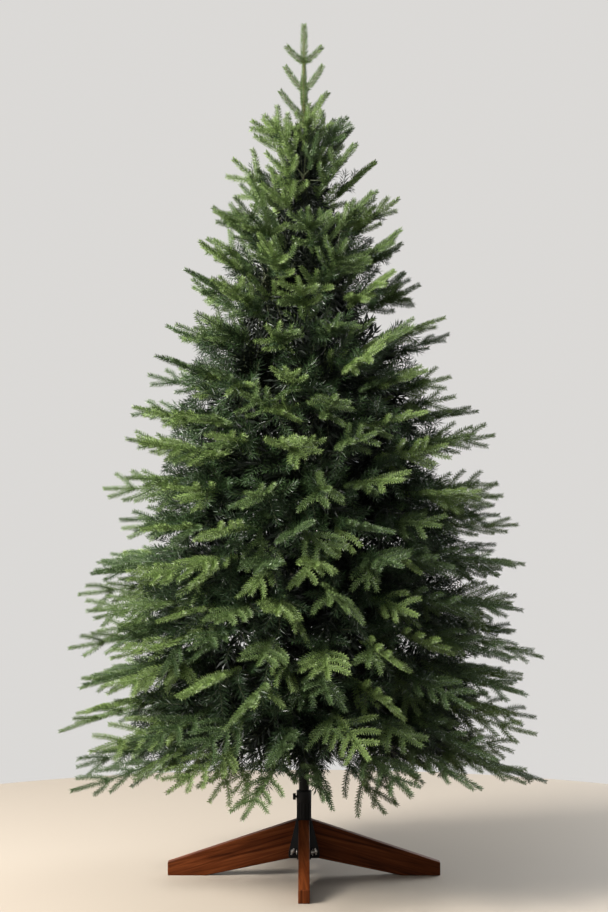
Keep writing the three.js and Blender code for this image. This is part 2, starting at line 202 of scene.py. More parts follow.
# Each soft box: its place, its side in metres, its power in watts and its colour.
LIGHTS = {
    "window": ((-3.1, -1.6, 3.1), 1.8, 490.0, (1.0, 0.975, 0.93)),
    "room": ((-1.2, -4.0, 2.9), 2.5, 40.0, (0.93, 0.97, 1.0)),
    "back": ((2.6, 3.2, 2.8), 2.5, 170.0, (0.93, 0.97, 1.0)),
}
LIGHTS_AIM = Vector((0, 0, 0.95))
for name, (place, side, power, color) in LIGHTS.items():
    light_data = bpy.data.lights.new(name, "AREA")
    light_data.size = side
    light_data.energy = power
    light_data.color = color
    light = bpy.data.objects.new(name, light_data)
    light.location = place
    light.rotation_euler = (LIGHTS_AIM - Vector(place)).to_track_quat("-Z", "Y").to_euler()
    light.visible_camera = False
    bpy.context.scene.collection.objects.link(light)
print("lights:", ", ".join(LIGHTS))

# %% [markdown]
# ## Making pieces
#
# Everything on this tree comes in numbers: four legs, four wing nuts, thousands of shoots and
# half a million needles. Each kind is drawn once and a Geometry Nodes tree repeats it.
# The result is then turned into a plain mesh, because a file for another program can't hold
# instances.


# %% Baking a node tree into a plain mesh
EXTRA_ATTRIBUTES = ("up", "along", "size", "thick")


def link(name, mesh):
    made = bpy.data.objects.new(name, mesh)
    bpy.context.scene.collection.objects.link(made)
    return made


def bake(name, mesh, tree, **values):
    """Runs a Geometry Nodes tree on a mesh and keeps the result as a plain mesh."""
    piece = link(name, mesh)
    modifier = piece.modifiers.new("grow", "NODES")
    modifier.node_group = tree
    for item in tree.interface.items_tree:
        if item.item_type == "SOCKET" and item.in_out == "INPUT" and item.name in values:
            modifier[item.identifier] = values[item.name]
    evaluated = piece.evaluated_get(bpy.context.evaluated_depsgraph_get())
    baked = bpy.data.meshes.new_from_object(evaluated)
    piece.modifiers.clear()
    piece.data = baked
    baked.name = name
    for extra in [a.name for a in baked.attributes if a.name in EXTRA_ATTRIBUTES]:
        baked.attributes.remove(baked.attributes[extra])
    return piece


def finish_piece(piece, slot, *nodes):
    """The piece rides on the part's one body and stands for these nodes."""
    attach(piece, "root")
    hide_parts(*nodes)
    triangles = sum(len(face.vertices) - 2 for face in piece.data.polygons)
    print(f"{piece.name}: {triangles} triangles")
    return triangles


# %% [markdown]
# The stand has the same things all round it, such as a leg on each of its four sides. A small
# tree copies a piece about the pole, by a count and a turn from each copy to the next.


# %% Parts that the trees share
def group(name, *sockets):
    """A new Geometry Nodes tree with a geometry input and output, and named inputs."""
    tree = bpy.data.node_groups.new(name, "GeometryNodeTree")
    tree.interface.new_socket("Geometry", in_out="INPUT", socket_type="NodeSocketGeometry")
    tree.interface.new_socket("Geometry", in_out="OUTPUT", socket_type="NodeSocketGeometry")
    for label, kind, value in sockets:
        made = tree.interface.new_socket(label, in_out="INPUT", socket_type="NodeSocket" + kind)
        if value is not None:
            made.default_value = value
    return tree, tree.nodes.new("NodeGroupInput"), tree.nodes.new("NodeGroupOutput")


def repeated(tree, **inputs):
    """Copies of a shape on points, made real."""
    copies = node(tree, "GeometryNodeInstanceOnPoints", **inputs)
    return node(tree, "GeometryNodeRealizeInstances", Geometry=copies.outputs[0]).outputs[0]


def end_tree(tree, given, result, shape):
    """Gives the finished shape its material and closes the tree."""
    painted = node(
        tree, "GeometryNodeSetMaterial", Geometry=shape, Material=given.outputs["Material"]
    )
    tree.links.new(painted.outputs[0], result.inputs[0])
    return tree


# %% The tree that copies a piece about the pole
def copies_about_pole():
    tree, given, result = group(
        "copies about the pole",
        ("Material", "Material", None),
        ("Count", "Int", 4),
        ("Turn", "Float", math.pi / 2),
    )
    line = node(tree, "GeometryNodeMeshLine", Count=given.outputs["Count"], Offset=(0, 0, 0))
    index = node(tree, "GeometryNodeInputIndex").outputs[0]
    angle = maths(tree, "MULTIPLY", index, given.outputs["Turn"])
    copies = repeated(
        tree,
        Points=line.outputs[0],
        Instance=given.outputs["Geometry"],
        Rotation=node(tree, "ShaderNodeCombineXYZ", Z=angle).outputs[0],
    )
    return end_tree(tree, given, result, copies)


COPIES_ABOUT_POLE = copies_about_pole()

# %% [markdown]
# ## Walnut legs
#
# Each leg is one sawn board on edge, oiled, with its corners just broken. The grain runs along
# the board, so the colour follows the mesh's own UV map: across it is the distance from the
# pole, up it is the height. A noise pulled long along the board gives the figure, a finer one
# the pores.

# %% Walnut
mm = 0.001
WALNUT_DARK = (0.044, 0.0098, 0.0025, 1)
WALNUT_MIDDLE = (0.124, 0.029, 0.0068, 1)
WALNUT_LIGHT = (0.240, 0.068, 0.0195, 1)
# Where the three browns lie in the figure.
WALNUT_STOPS = (0.32, 0.5, 0.72)
FIGURE_STRETCH = (3.0, 55.0, 1.0)
PORE_STRETCH = (14.0, 900.0, 1.0)
PORE_SHADE = 0.62


def walnut_material():
    made, tree, shader = new_material("oiled walnut", WALNUT_MIDDLE[:3], 0.42)
    place = node(tree, "ShaderNodeUVMap").outputs[0]
    long_way = node(tree, "ShaderNodeMapping", Vector=place, Scale=FIGURE_STRETCH)
    figure = noise(tree, long_way.outputs[0], 1.6, 5.0, Roughness=0.55, Distortion=0.9)
    ramp_node = node(tree, "ShaderNodeValToRGB", Fac=figure)
    stops = ramp_node.color_ramp.elements
    stops[0].position, stops[1].position = WALNUT_STOPS[0], WALNUT_STOPS[2]
    stops[0].color, stops[1].color = WALNUT_DARK, WALNUT_LIGHT
    stops.new(WALNUT_STOPS[1]).color = WALNUT_MIDDLE
    fine_way = node(tree, "ShaderNodeMapping", Vector=place, Scale=PORE_STRETCH)
    pores = noise(tree, fine_way.outputs[0], 1.0, 3.0)
    shade = span(tree, pores, PORE_SHADE, 1.0, 0.35, 0.5)
    color = mixed(tree, 1.0, ramp_node.outputs[0], shade, "MULTIPLY")
    tree.links.new(color, shader.inputs["Base Color"])
    set_gloss(tree, shader, figure, 0.52, 0.36)
    set_relief(tree, shader, pores, 0.25, 0.6 * mm)
    shader.inputs["Specular IOR Level"].default_value = 0.1
    return made


WALNUT = walnut_material()

# %% The four legs
CLEAR = 0.3 * mm
LEG_REACH = 335 * mm
LEG_THICKNESS = 27 * mm
LEG_ROOT_TOP_Z = 137 * mm
LEG_ROOT_BOTTOM_Z = 46 * mm
LEG_FOOT_HEIGHT = 32 * mm
LEG_FOOT_START = 240 * mm
PLATE_THICKNESS = 3 * mm
PLATE_INSIDE = LEG_THICKNESS / 2 + CLEAR
PLATE_OUTSIDE = PLATE_INSIDE + PLATE_THICKNESS
LEG_ROOT = PLATE_OUTSIDE + CLEAR
LEG_EDGE = 1.8 * mm


def slab(outline, thickness, edge, segments=3):
    """A plate with an outline of (out, z) pairs, centred on Y, with rounded edges."""
    made = bmesh.new()
    near = [made.verts.new((x, -thickness / 2, z)) for x, z in outline]
    body = made.faces.new(near)
    grown = bmesh.ops.extrude_face_region(made, geom=[body])
    moved = [v for v in grown["geom"] if isinstance(v, bmesh.types.BMVert)]
    bmesh.ops.translate(made, verts=moved, vec=(0, thickness, 0))
    bmesh.ops.recalc_face_normals(made, faces=made.faces)
    bmesh.ops.bevel(
        made,
        geom=made.edges[:],
        offset=edge,
        segments=segments,
        affect="EDGES",
        profile=0.5,
    )
    return made


GRAIN_SLOPE = math.radians(-15)
GRAIN_DEPTH = 0.8
SIDE_GRAIN_START = 0.35
END_GRAIN_START = 0.5
END_FACING = 0.8


def grain_uv(made):
    """UV in metres: across runs with the grain, up is the way over it, on every face."""
    layer = made.loops.layers.uv.new("grain")
    for face in made.faces:
        end_grain = abs(face.normal.x) > END_FACING
        for loop in face.loops:
            x, y, z = loop.vert.co
            along = x * math.cos(GRAIN_SLOPE) + z * math.sin(GRAIN_SLOPE)
            over = z * math.cos(GRAIN_SLOPE) - x * math.sin(GRAIN_SLOPE) + SIDE_GRAIN_START
            if end_grain:
                along, over = z, END_GRAIN_START
            loop[layer].uv = (along, over + GRAIN_DEPTH * y)


def mesh_from(name, made, smooth=False):
    for face in made.faces:
        face.smooth = smooth
    bmesh.ops.recalc_face_normals(made, faces=made.faces)
    data = bpy.data.meshes.new(name)
    made.to_mesh(data)
    made.free()
    return data


def moved(made, *steps):
    """Moves a shape by one matrix after the other."""
    for step in steps:
        bmesh.ops.transform(made, verts=made.verts, matrix=step)
    return made


def add_part(whole, part):
    """Adds the faces of a part to a whole."""
    data = mesh_from("part", part)
    whole.from_mesh(data)
    bpy.data.meshes.remove(data)


def smooth_piece(name, made, material, sharp):
    """A smooth piece with its edges kept from an angle on, in degrees."""
    data = mesh_from(name, made, smooth=True)
    data.materials.append(material)
    data.set_sharp_from_angle(angle=math.radians(sharp))
    return link(name, data)


leg_outline = [
    (LEG_ROOT, LEG_ROOT_BOTTOM_Z),
    (LEG_FOOT_START, 0),
    (LEG_REACH, 0),
    (LEG_REACH, LEG_FOOT_HEIGHT),
    (LEG_ROOT, LEG_ROOT_TOP_Z),
]
leg_shape = slab(leg_outline, LEG_THICKNESS, LEG_EDGE)
grain_uv(leg_shape)
legs = bake(
    "walnut_legs",
    mesh_from("leg", leg_shape),
    COPIES_ABOUT_POLE,
    Material=WALNUT,
    Count=4,
    Turn=math.pi / 2,
)
finish_piece(legs, "walnut", "leg_front", "leg_right", "leg_back", "leg_left")

# %% [markdown]
# ## The bracket
#
# Pressed steel plates clasp the inner end of each board and are welded to a short tube, the
# socket. The whole is black powder coat: nearly black, satin, with the fine orange-peel
# texture that the coating dries to.


# %% Black powder coat
def coated_material(name, color, roughness, peel):
    made, tree, shader = new_material(name, color, roughness)
    place = object_place(tree)
    set_gloss(tree, shader, noise(tree, place, 35.0, 4.0), roughness - 0.1, roughness + 0.12)
    set_relief(tree, shader, noise(tree, place, 900.0, 2.0), peel, 0.3 * mm)
    shader.inputs["Specular IOR Level"].default_value = 0.25
    return made


BLACK_COAT = coated_material("black powder coat", (0.0045, 0.0045, 0.0045), 0.42, 0.3)
POLE_PAINT = coated_material("dark green pole paint", (0.005, 0.0075, 0.0055), 0.45, 0.2)

# %% Plates and socket
POLE_R = 12.5 * mm
SOCKET_R = 16.5 * mm
SOCKET_TOP_Z = 207 * mm
SOCKET_BOTTOM_Z = 41 * mm
SOCKET_FLOOR_Z = 45 * mm
SOCKET_RIM = 1.8 * mm
SOCKET_RIM_HEIGHT = 29 * mm
PLATE_BOTTOM_Z = 43 * mm
PLATE_LIP = 14 * mm
PLATE_TOP_OUT = 19 * mm
PLATE_BOTTOM_OUT = 38 * mm
PLATE_CORNER = 5 * mm
PLATE_EDGE = 0.6 * mm


def turned(profile, sides):
    """A surface turned about Z from (radius, height) pairs that start and end on the axis."""
    made = bmesh.new()
    rings = []
    for radius, z in profile:
        count = sides if radius > 0 else 1
        turns = [2 * math.pi * i / count for i in range(count)]
        rings.append(
            [made.verts.new((radius * math.cos(a), radius * math.sin(a), z)) for a in turns]
        )
    for below, above in zip(rings, rings[1:]):
        for i in range(sides):
            k = (i + 1) % sides
            corners = [below[i % len(below)], below[k % len(below)]]
            corners += [above[k % len(above)], above[i % len(above)]]
            made.faces.new(list(dict.fromkeys(corners)))
    return made


def rounded(profile, radius, steps=3):
    """The same profile with its inner corners rounded off by short arcs."""
    out = [profile[0]]
    for before, corner, after in zip(profile, profile[1:], profile[2:]):
        here = Vector(corner)
        back = Vector(before) - here
        ahead = Vector(after) - here
        cut = min(radius, 0.45 * back.length, 0.45 * ahead.length)
        start = here + back.normalized() * cut
        end = here + ahead.normalized() * cut
        for i in range(steps + 1):
            t = i / steps
            out.append(tuple(start * (1 - t) ** 2 + here * 2 * t * (1 - t) + end * t**2))
    out.append(profile[-1])
    return out


rim_r = SOCKET_R + SOCKET_RIM
rim_z = SOCKET_TOP_Z - SOCKET_RIM_HEIGHT
bore_r = POLE_R + CLEAR
socket_profile = [
    (0, SOCKET_BOTTOM_Z),
    (SOCKET_R, SOCKET_BOTTOM_Z),
    (SOCKET_R, rim_z),
    (rim_r, rim_z),
    (rim_r, SOCKET_TOP_Z),
    (bore_r, SOCKET_TOP_Z),
    (bore_r, SOCKET_FLOOR_Z),
    (0, SOCKET_FLOOR_Z),
]
bracket = turned(rounded(socket_profile, 1.0 * mm), 48)
plate_outline = [
    (PLATE_BOTTOM_OUT - PLATE_CORNER, PLATE_BOTTOM_Z),
    (PLATE_BOTTOM_OUT - 0.3 * PLATE_CORNER, PLATE_BOTTOM_Z + 0.3 * PLATE_CORNER),
    (PLATE_BOTTOM_OUT, PLATE_BOTTOM_Z + PLATE_CORNER),
    (PLATE_BOTTOM_OUT, PLATE_BOTTOM_Z + PLATE_LIP),
    (PLATE_TOP_OUT, LEG_ROOT_TOP_Z),
]
plate_outline += [(-x, z) for x, z in reversed(plate_outline)]
plate_middle = (PLATE_INSIDE + PLATE_OUTSIDE) / 2
for turn in (0, math.pi / 2):
    for side in (-1, 1):
        plate = slab(plate_outline, PLATE_THICKNESS, PLATE_EDGE, 2)
        out = Matrix.Translation((0, side * plate_middle, 0))
        add_part(bracket, moved(plate, out, Matrix.Rotation(turn, 4, "Z")))
stand_bracket = smooth_piece("stand_bracket", bracket, BLACK_COAT, 35)
finish_piece(stand_bracket, "bracket", "stand_socket")

# %% Grip ribs round the socket
RIB_COUNT = 14
RIB_WIDTH = 3.4 * mm
RIB_FOOT_Z = 118 * mm
RIB_SLOPE = 3 * mm
RIB_TOP_Z = SOCKET_TOP_Z - 2 * mm
RIB_ROOT = SOCKET_R - 1 * mm
RIB_FACE = rim_r - 0.2 * mm
RIB_EDGE = 0.8 * mm

rib_outline = [
    (RIB_ROOT, RIB_FOOT_Z),
    (RIB_FACE, RIB_FOOT_Z + RIB_SLOPE),
    (RIB_FACE, RIB_TOP_Z),
    (RIB_ROOT, RIB_TOP_Z),
]
rib = slab(rib_outline, RIB_WIDTH, RIB_EDGE, 2)
moved(rib, Matrix.Rotation(math.pi / RIB_COUNT, 4, "Z"))
socket_ribs = bake(
    "socket_ribs",
    mesh_from("rib", rib),
    COPIES_ABOUT_POLE,
    Material=BLACK_COAT,
    Count=RIB_COUNT,
    Turn=2 * math.pi / RIB_COUNT,
)
finish_piece(socket_ribs, "bracket", "stand_socket")

# %% [markdown]
# ## Thumbscrew and wing nuts
#
# The thumbscrew has a black grip with flutes, made by pulling the rim of a turned knob inwards
# in waves. The wing nuts are zinc plated, so they are the one bright thing down here: a cone of
# a nut with two wings that stand out from its end.


# %% Zinc plate
def zinc_material():
    made, tree, shader = new_material("zinc plate", (0.62, 0.60, 0.56), 0.3, 1.0)
    set_gloss(tree, shader, noise(tree, object_place(tree), 260.0, 3.0), 0.22, 0.42)
    return made


ZINC = zinc_material()

# %% The thumbscrew
SCREW_Z = 192 * mm
SCREW_R = 3 * mm
KNOB_R = 8.5 * mm
KNOB_LENGTH = 7 * mm
KNOB_TAPER = 0.9
KNOB_EDGE = 0.8 * mm
FLUTES = 12
FLUTE_DEPTH = 0.07

knob_start = rim_r + 2 * mm
knob_end = knob_start + KNOB_LENGTH
screw_profile = [
    (0, bore_r),
    (SCREW_R, bore_r),
    (SCREW_R, knob_start),
    (KNOB_R, knob_start),
    (KNOB_TAPER * KNOB_R, knob_end),
    (0, knob_end),
]
screw = turned(rounded(screw_profile, KNOB_EDGE), 4 * FLUTES)
for vert in screw.verts:
    out = math.hypot(vert.co.x, vert.co.y)
    if out > 0.6 * KNOB_R:
        turn = math.atan2(vert.co.y, vert.co.x)
        scale = 1 - FLUTE_DEPTH * (0.5 + 0.5 * math.cos(FLUTES * turn))
        vert.co.x *= scale
        vert.co.y *= scale
moved(screw, Matrix.Rotation(-math.pi / 2, 4, "Y"), Matrix.Translation((0, 0, SCREW_Z)))
thumbscrew = smooth_piece("thumbscrew", screw, BLACK_COAT, 40)
finish_piece(thumbscrew, "bracket", "clamp_screw")

# %% Bolts and wing nuts
BOLT_OUT = 28 * mm
BOLT_Z = 60 * mm
BOLT_R = 3.5 * mm
BOLT_EDGE = 0.7 * mm
NUT_R = 5.6 * mm
NUT_END_R = 4.2 * mm
NUT_LENGTH = 5 * mm
THREAD_SHOWS = 2 * mm
HEAD_R = 6.5 * mm
HEAD_CROWN = 3 * mm
WING_REACH = 8.5 * mm
WING_THICKNESS = 2 * mm
WING_EDGE = 0.9 * mm
WING_TURN = math.radians(72)

bolt_face = PLATE_OUTSIDE + CLEAR
nut_end = -bolt_face - NUT_LENGTH
thread_end = nut_end - THREAD_SHOWS
bolt_profile = [
    (0, thread_end),
    (BOLT_R, thread_end),
    (BOLT_R, nut_end),
    (NUT_END_R, nut_end),
    (NUT_R, -bolt_face),
    (BOLT_R, -bolt_face),
    (BOLT_R, bolt_face),
    (HEAD_R, bolt_face),
    (NUT_R, bolt_face + 2 * mm),
    (0, bolt_face + HEAD_CROWN),
]
wing_outline = [
    (-2.4 * mm, 2 * mm),
    (2.4 * mm, 2 * mm),
    (3.2 * mm, WING_REACH),
    (-1 * mm, WING_REACH),
]
bolt = turned(rounded(bolt_profile, BOLT_EDGE, 2), 24)
for side in (-1, 1):
    wing = slab(wing_outline, WING_THICKNESS, WING_EDGE, 3)
    flat = Matrix.Rotation(math.pi / 2, 4, "X") @ Matrix.Rotation(side * math.pi / 2, 4, "Y")
    add_part(bolt, moved(wing, flat, Matrix.Translation((0, 0, nut_end + 1 * mm))))
bolt_data = mesh_from("bolt", bolt)

# A pair of bolts on opposite legs, with both nuts to the same side and their wings upright.
pair_of_bolts = bmesh.new()
for side in (-1, 1):
    one = bmesh.new()
    one.from_mesh(bolt_data)
    place = (
        Matrix.Translation((side * BOLT_OUT, 0, BOLT_Z))
        @ Matrix.Rotation(-math.pi / 2, 4, "X")
        @ Matrix.Rotation(side * WING_TURN, 4, "Z")
    )
    add_part(pair_of_bolts, moved(one, place))
bolts = bake(
    "wing_nuts",
    mesh_from("pair of bolts", pair_of_bolts, smooth=True),
    COPIES_ABOUT_POLE,
    Material=ZINC,
    Count=2,
    Turn=math.pi / 2,
)
bolts.data.set_sharp_from_angle(angle=math.radians(40))
finish_piece(bolts, "bolts", "bolt_front", "bolt_right", "bolt_back", "bolt_left")

# %% [markdown]
# ## The pole
#
# Three lengths of steel tube plug into each other, each thinner than the one below. The joint
# shows as a short rolled shoulder. Only its foot shows under the crown, but it is made to its
# tip, because the leader stands on it.

# %% Pole
POLE_TOP_R = 8 * mm
POLE_STEPS_Z = (900 * mm, 1480 * mm)
POLE_STEP_HEIGHT = 6 * mm
POLE_EDGE = 1.5 * mm
POLE_TOP_Z = 1838 * mm

pole_middle_r = (POLE_R + POLE_TOP_R) / 2
first, second = POLE_STEPS_Z
pole_foot = SOCKET_FLOOR_Z + CLEAR
pole_profile = [
    (0, pole_foot),
    (POLE_R, pole_foot),
    (POLE_R, first),
    (pole_middle_r, first + POLE_STEP_HEIGHT),
    (pole_middle_r, second),
    (POLE_TOP_R, second + POLE_STEP_HEIGHT),
    (POLE_TOP_R, POLE_TOP_Z),
    (0, POLE_TOP_Z),
]
pole_shape = turned(rounded(pole_profile, POLE_EDGE), 40)
steel_pole = smooth_piece("steel_pole", pole_shape, POLE_PAINT, 40)
finish_piece(steel_pole, "pole", "pole")

# %% [markdown]
# ## The rule of the crown
#
# The crown's outline is a curve of radius against height. The boughs droop at the bottom and
# climb at the top, so each row of twigs lies in a sloping cone. Six tiers are cut into sectors,
# each sector is one bough with its own mass of needles, and each mass has rows of sprigs that
# end on the outline. The numbers come from a small chain of whole numbers, so that they are the
# same in any language.

# %% Outline, slope and dice
HEIGHT = 2.100
WIDEST = 0.604
WIDEST_Z = 0.320
PROFILE_POWER = 1.75
UNDERCUT = 0.25
LOWEST_TIP_Z = 0.262
ROW_STEP = 0.100
ELEVATION_LOW = -16.0
ELEVATION_HIGH = 48.0
ELEVATION_POWER = 1.5
# Each tier: sectors, rows, sprigs of a row in one sector, and the first sector's turn.
TIERS = [
    (5, 3, 4, 0),
    (5, 3, 4, 36),
    (5, 3, 3, 0),
    (4, 3, 3, 20),
    (3, 3, 3, 50),
    (2, 2, 3, 0),
]
CORE_SHARE = 0.58
CORE_INNER_SHARE = 0.3
CORE_STEPS = {5: 3, 4: 3, 3: 4, 2: 6}
POLE_MARGIN = 22 * mm
SPRIG_SUNK = 0.06
SEED = 20240
CHAIN_FACTOR = 48271
CHAIN_LENGTH = 2147483647
UP = Vector((0, 0, 1))


def rows_below(tier):
    return sum(rows for _, rows, _, _ in TIERS[:tier])


def row_z(row):
    return LOWEST_TIP_Z + ROW_STEP * row


TOP_ROW_Z = row_z(rows_below(len(TIERS)) - 1)


def dice(seed):
    """Numbers from 0 to 1 that are the same on every run."""
    state = [seed]

    def roll():
        state[0] = state[0] * CHAIN_FACTOR % CHAIN_LENGTH
        return state[0] / CHAIN_LENGTH

    for _ in range(4):
        roll()
    return roll


def between(roll, low, high):
    """A drawn number between two others."""
    return low + (high - low) * roll()


def either_way(roll, width):
    """A drawn number on either side of zero."""
    return width * (roll() - 0.5)


def reach(z):
    """The crown's radius at a tip's height."""
    up = (z - WIDEST_Z) / (HEIGHT - WIDEST_Z)
    if up > 0:
        return WIDEST * (1 - up**PROFILE_POWER)
    return WIDEST * (1 + UNDERCUT * up)


def elevation(z):
    """The slope of a bough whose tip is at a height, in radians."""
    up = max(0.0, (z - LOWEST_TIP_Z) / (TOP_ROW_Z - LOWEST_TIP_Z))
    return math.radians(ELEVATION_LOW + (ELEVATION_HIGH - ELEVATION_LOW) * up**ELEVATION_POWER)


def layer_z(tip_z, r):
    """Height, at a radius, of the cone that the boughs with tips at tip_z lie in."""
    return tip_z - (reach(tip_z) - r) * math.tan(elevation(tip_z))


def polar(r, azimuth, z):
    return Vector((r * math.cos(azimuth), r * math.sin(azimuth), z))


print("crown radius at 0.5 m and 1.5 m:", round(reach(0.5), 3), round(reach(1.5), 3))


# %% Where the sprigs of one mass start and end
STAGGER = 0.2
AZIMUTH_SCATTER = 0.3
TIP_Z_SCATTER = 0.55
TIP_R_SCATTER = 0.15
TIP_R_POWER = 1.5
ARM_SPREAD = 0.9
LONG_SPRIG = 0.2
SPRIG_BEND = 0.2
# The share of sprigs whose tip bends down.
SPRIG_BENDS_DOWN = 0.45
SPRIG_TURN = 110
SPRIG_CUP = 0.5


class Sprig:
    """A small branch: its two ends, how far its tip bends up, its turn about itself in degrees,
    how far its sides cup, and how many pairs of side shoots it has."""

    def __init__(self, root, tip, bend, turn, cup, pairs):
        self.root, self.tip, self.bend = root, tip, bend
        self.turn, self.cup, self.pairs = turn, cup, pairs


def space_of(tier, sector):
    sectors, rows, _, turn = TIERS[tier]
    width = 2 * math.pi / sectors
    start = math.radians(turn - 90) + (sector - 0.5) * width
    low_z = row_z(rows_below(tier) - 0.5)
    high_z = row_z(rows_below(tier) + rows - 0.5)
    middle_z = (low_z + high_z) / 2
    inner = max(CORE_INNER_SHARE * reach(middle_z), POLE_R + POLE_MARGIN)
    return start, width, start + width / 2, middle_z, inner


def sprigs_of(tier, sector):
    sectors, rows, columns, _ = TIERS[tier]
    start, width, middle, _, _ = space_of(tier, sector)
    roll = dice(SEED + 100 * tier + 7 * sector)
    # The solids' rule draws the corners of a mass's core first.
    for _ in range(CORE_STEPS[sectors] + 1):
        roll()
    sprigs = []
    for row in range(rows):
        for column in range(columns):
            stagger = STAGGER if row % 2 else -STAGGER
            share = (column + 0.5 + stagger + either_way(roll, AZIMUTH_SCATTER)) / columns
            azimuth = start + width * share
            row_tip_z = row_z(rows_below(tier) + row)
            tip_z = row_tip_z + either_way(roll, TIP_Z_SCATTER * ROW_STEP)
            tip_r = reach(tip_z) * (1 - TIP_R_SCATTER * roll() ** TIP_R_POWER)
            root_r = (CORE_SHARE - SPRIG_SUNK) * reach(tip_z)
            root_azimuth = middle + ARM_SPREAD * (azimuth - middle)
            sprigs.append(
                Sprig(
                    root=polar(root_r, root_azimuth, layer_z(tip_z, root_r)),
                    tip=polar(tip_r, azimuth, layer_z(tip_z, tip_r)),
                    bend=SPRIG_BEND * (roll() - SPRIG_BENDS_DOWN) * (tip_r - root_r),
                    turn=either_way(roll, SPRIG_TURN),
                    cup=either_way(roll, SPRIG_CUP),
                    pairs=3 if tip_r - root_r > LONG_SPRIG else 2,
                )
            )
    return sprigs


# %% [markdown]
# ## From sprig to shoot
#
# In the solids a sprig is one toothed blade. Here it becomes what it stands for: a wire stem
# with a shoot at its tip and pairs of side shoots where the blade has its teeth. A smaller
# sprig forks from its foot and dark bottle-brush twigs fill the space behind them, as on a real
# tree of this kind, where bright moulded tips hide cheaper twigs of cut foil.
#
# A shoot is only a line of points with an up direction. The needles come later.

# %% Lines that shoots follow
SHOOT_POINTS = 5
TONES = ("fresh", "leafy", "deep")
TONE_SHARES = (0.4, 0.75)


class Lines:
    """Lines of points. Each has an up direction, a size for its needles and a thickness at
    both ends."""

    def __init__(self):
        self.points, self.ups, self.sizes, self.thick, self.starts = [], [], [], [], []

    def add(self, points, up=UP, size=1.0, thick=(1.0, 0.6)):
        self.starts.append((len(self.points), len(points)))
        count = max(1, len(points) - 1)
        for i, point in enumerate(points):
            self.points.append(point)
            self.ups.append(up)
            self.sizes.append(size)
            self.thick.append(thick[0] + (thick[1] - thick[0]) * i / count)

    def take(self, other):
        """Adds all lines of another set."""
        self.starts += [(a + len(self.points), n) for a, n in other.starts]
        self.points += other.points
        self.ups += other.ups
        self.sizes += other.sizes
        self.thick += other.thick

    def mesh(self, name):
        data = bpy.data.meshes.new(name)
        edges = [(a + i, a + i + 1) for a, n in self.starts for i in range(n - 1)]
        data.from_pydata([tuple(p) for p in self.points], edges, [])
        up = data.attributes.new("up", "FLOAT_VECTOR", "POINT")
        up.data.foreach_set("vector", np.array(self.ups, np.float32).ravel())
        size = data.attributes.new("size", "FLOAT", "POINT")
        size.data.foreach_set("value", np.array(self.sizes, np.float32))
        thick = data.attributes.new("thick", "FLOAT", "POINT")
        thick.data.foreach_set("value", np.array(self.thick, np.float32))
        return data


def curve_between(start, end, bow, count=SHOOT_POINTS):
    """Points from start to end that bow sideways by a vector in the middle."""
    out = []
    for i in range(count):
        t = i / (count - 1)
        out.append(start.lerp(end, t) + bow * (4 * t * (1 - t)))
    return out


def sprig_frame(sprig):
    """A sprig's length and the ways along it, to its side and up from it."""
    chord = sprig.tip - sprig.root - UP * sprig.bend
    along = chord.normalized()
    up = Matrix.Rotation(math.radians(sprig.turn), 3, along) @ UP
    side = along.cross(up).normalized()
    return chord.length, along, side, side.cross(along)


def ramp(z, low_z, high_z):
    """From 0 at the lower height to 1 at the upper one."""
    return min(1, max(0, (z - low_z) / (high_z - low_z)))


# %% A sprig: its stem and its side shoots
RIB_THICK = (2.0 * mm, 1.2 * mm)
STEM_PARTS = 7
# Along the sprig: where the first pair of shoots stands and the step to the next pair.
FIRST_SHOOT = 0.28
SHOOT_STEPS = {3: 0.2, 2: 0.3, 1: 0.3}
# The angle between shoot and stem, at the bottom of the crown and at its top.
SHOOT_ANGLES = (36, 46)
SHOOT_ANGLE_SHARES = (0.8, 1.2)
SLENDER_FROM_Z = 1.2
SLENDER_TO_Z = 1.75
SLENDER_GAIN = 0.35
# A side shoot's length, as a share of the sprig's and in metres.
FINGER_SHARE = 0.38
SMALL_FINGER_SHARE = 0.52
FINGER_SHORTEST = 0.058
FINGER_LONGEST = 0.095
FINGER_SHARES = (0.84, 1.08)
FINGER_FALL = 0.1
FINGER_SCATTER = 0.25
FINGER_BOW_OUT = 0.06
FINGER_BOW_UP = 0.1
FINGER_BOWS_DOWN = 0.35
FINGER_SIZE = 0.97
SPRIG_SHORTEST = 0.18
INNERMOST_R = 20 * mm


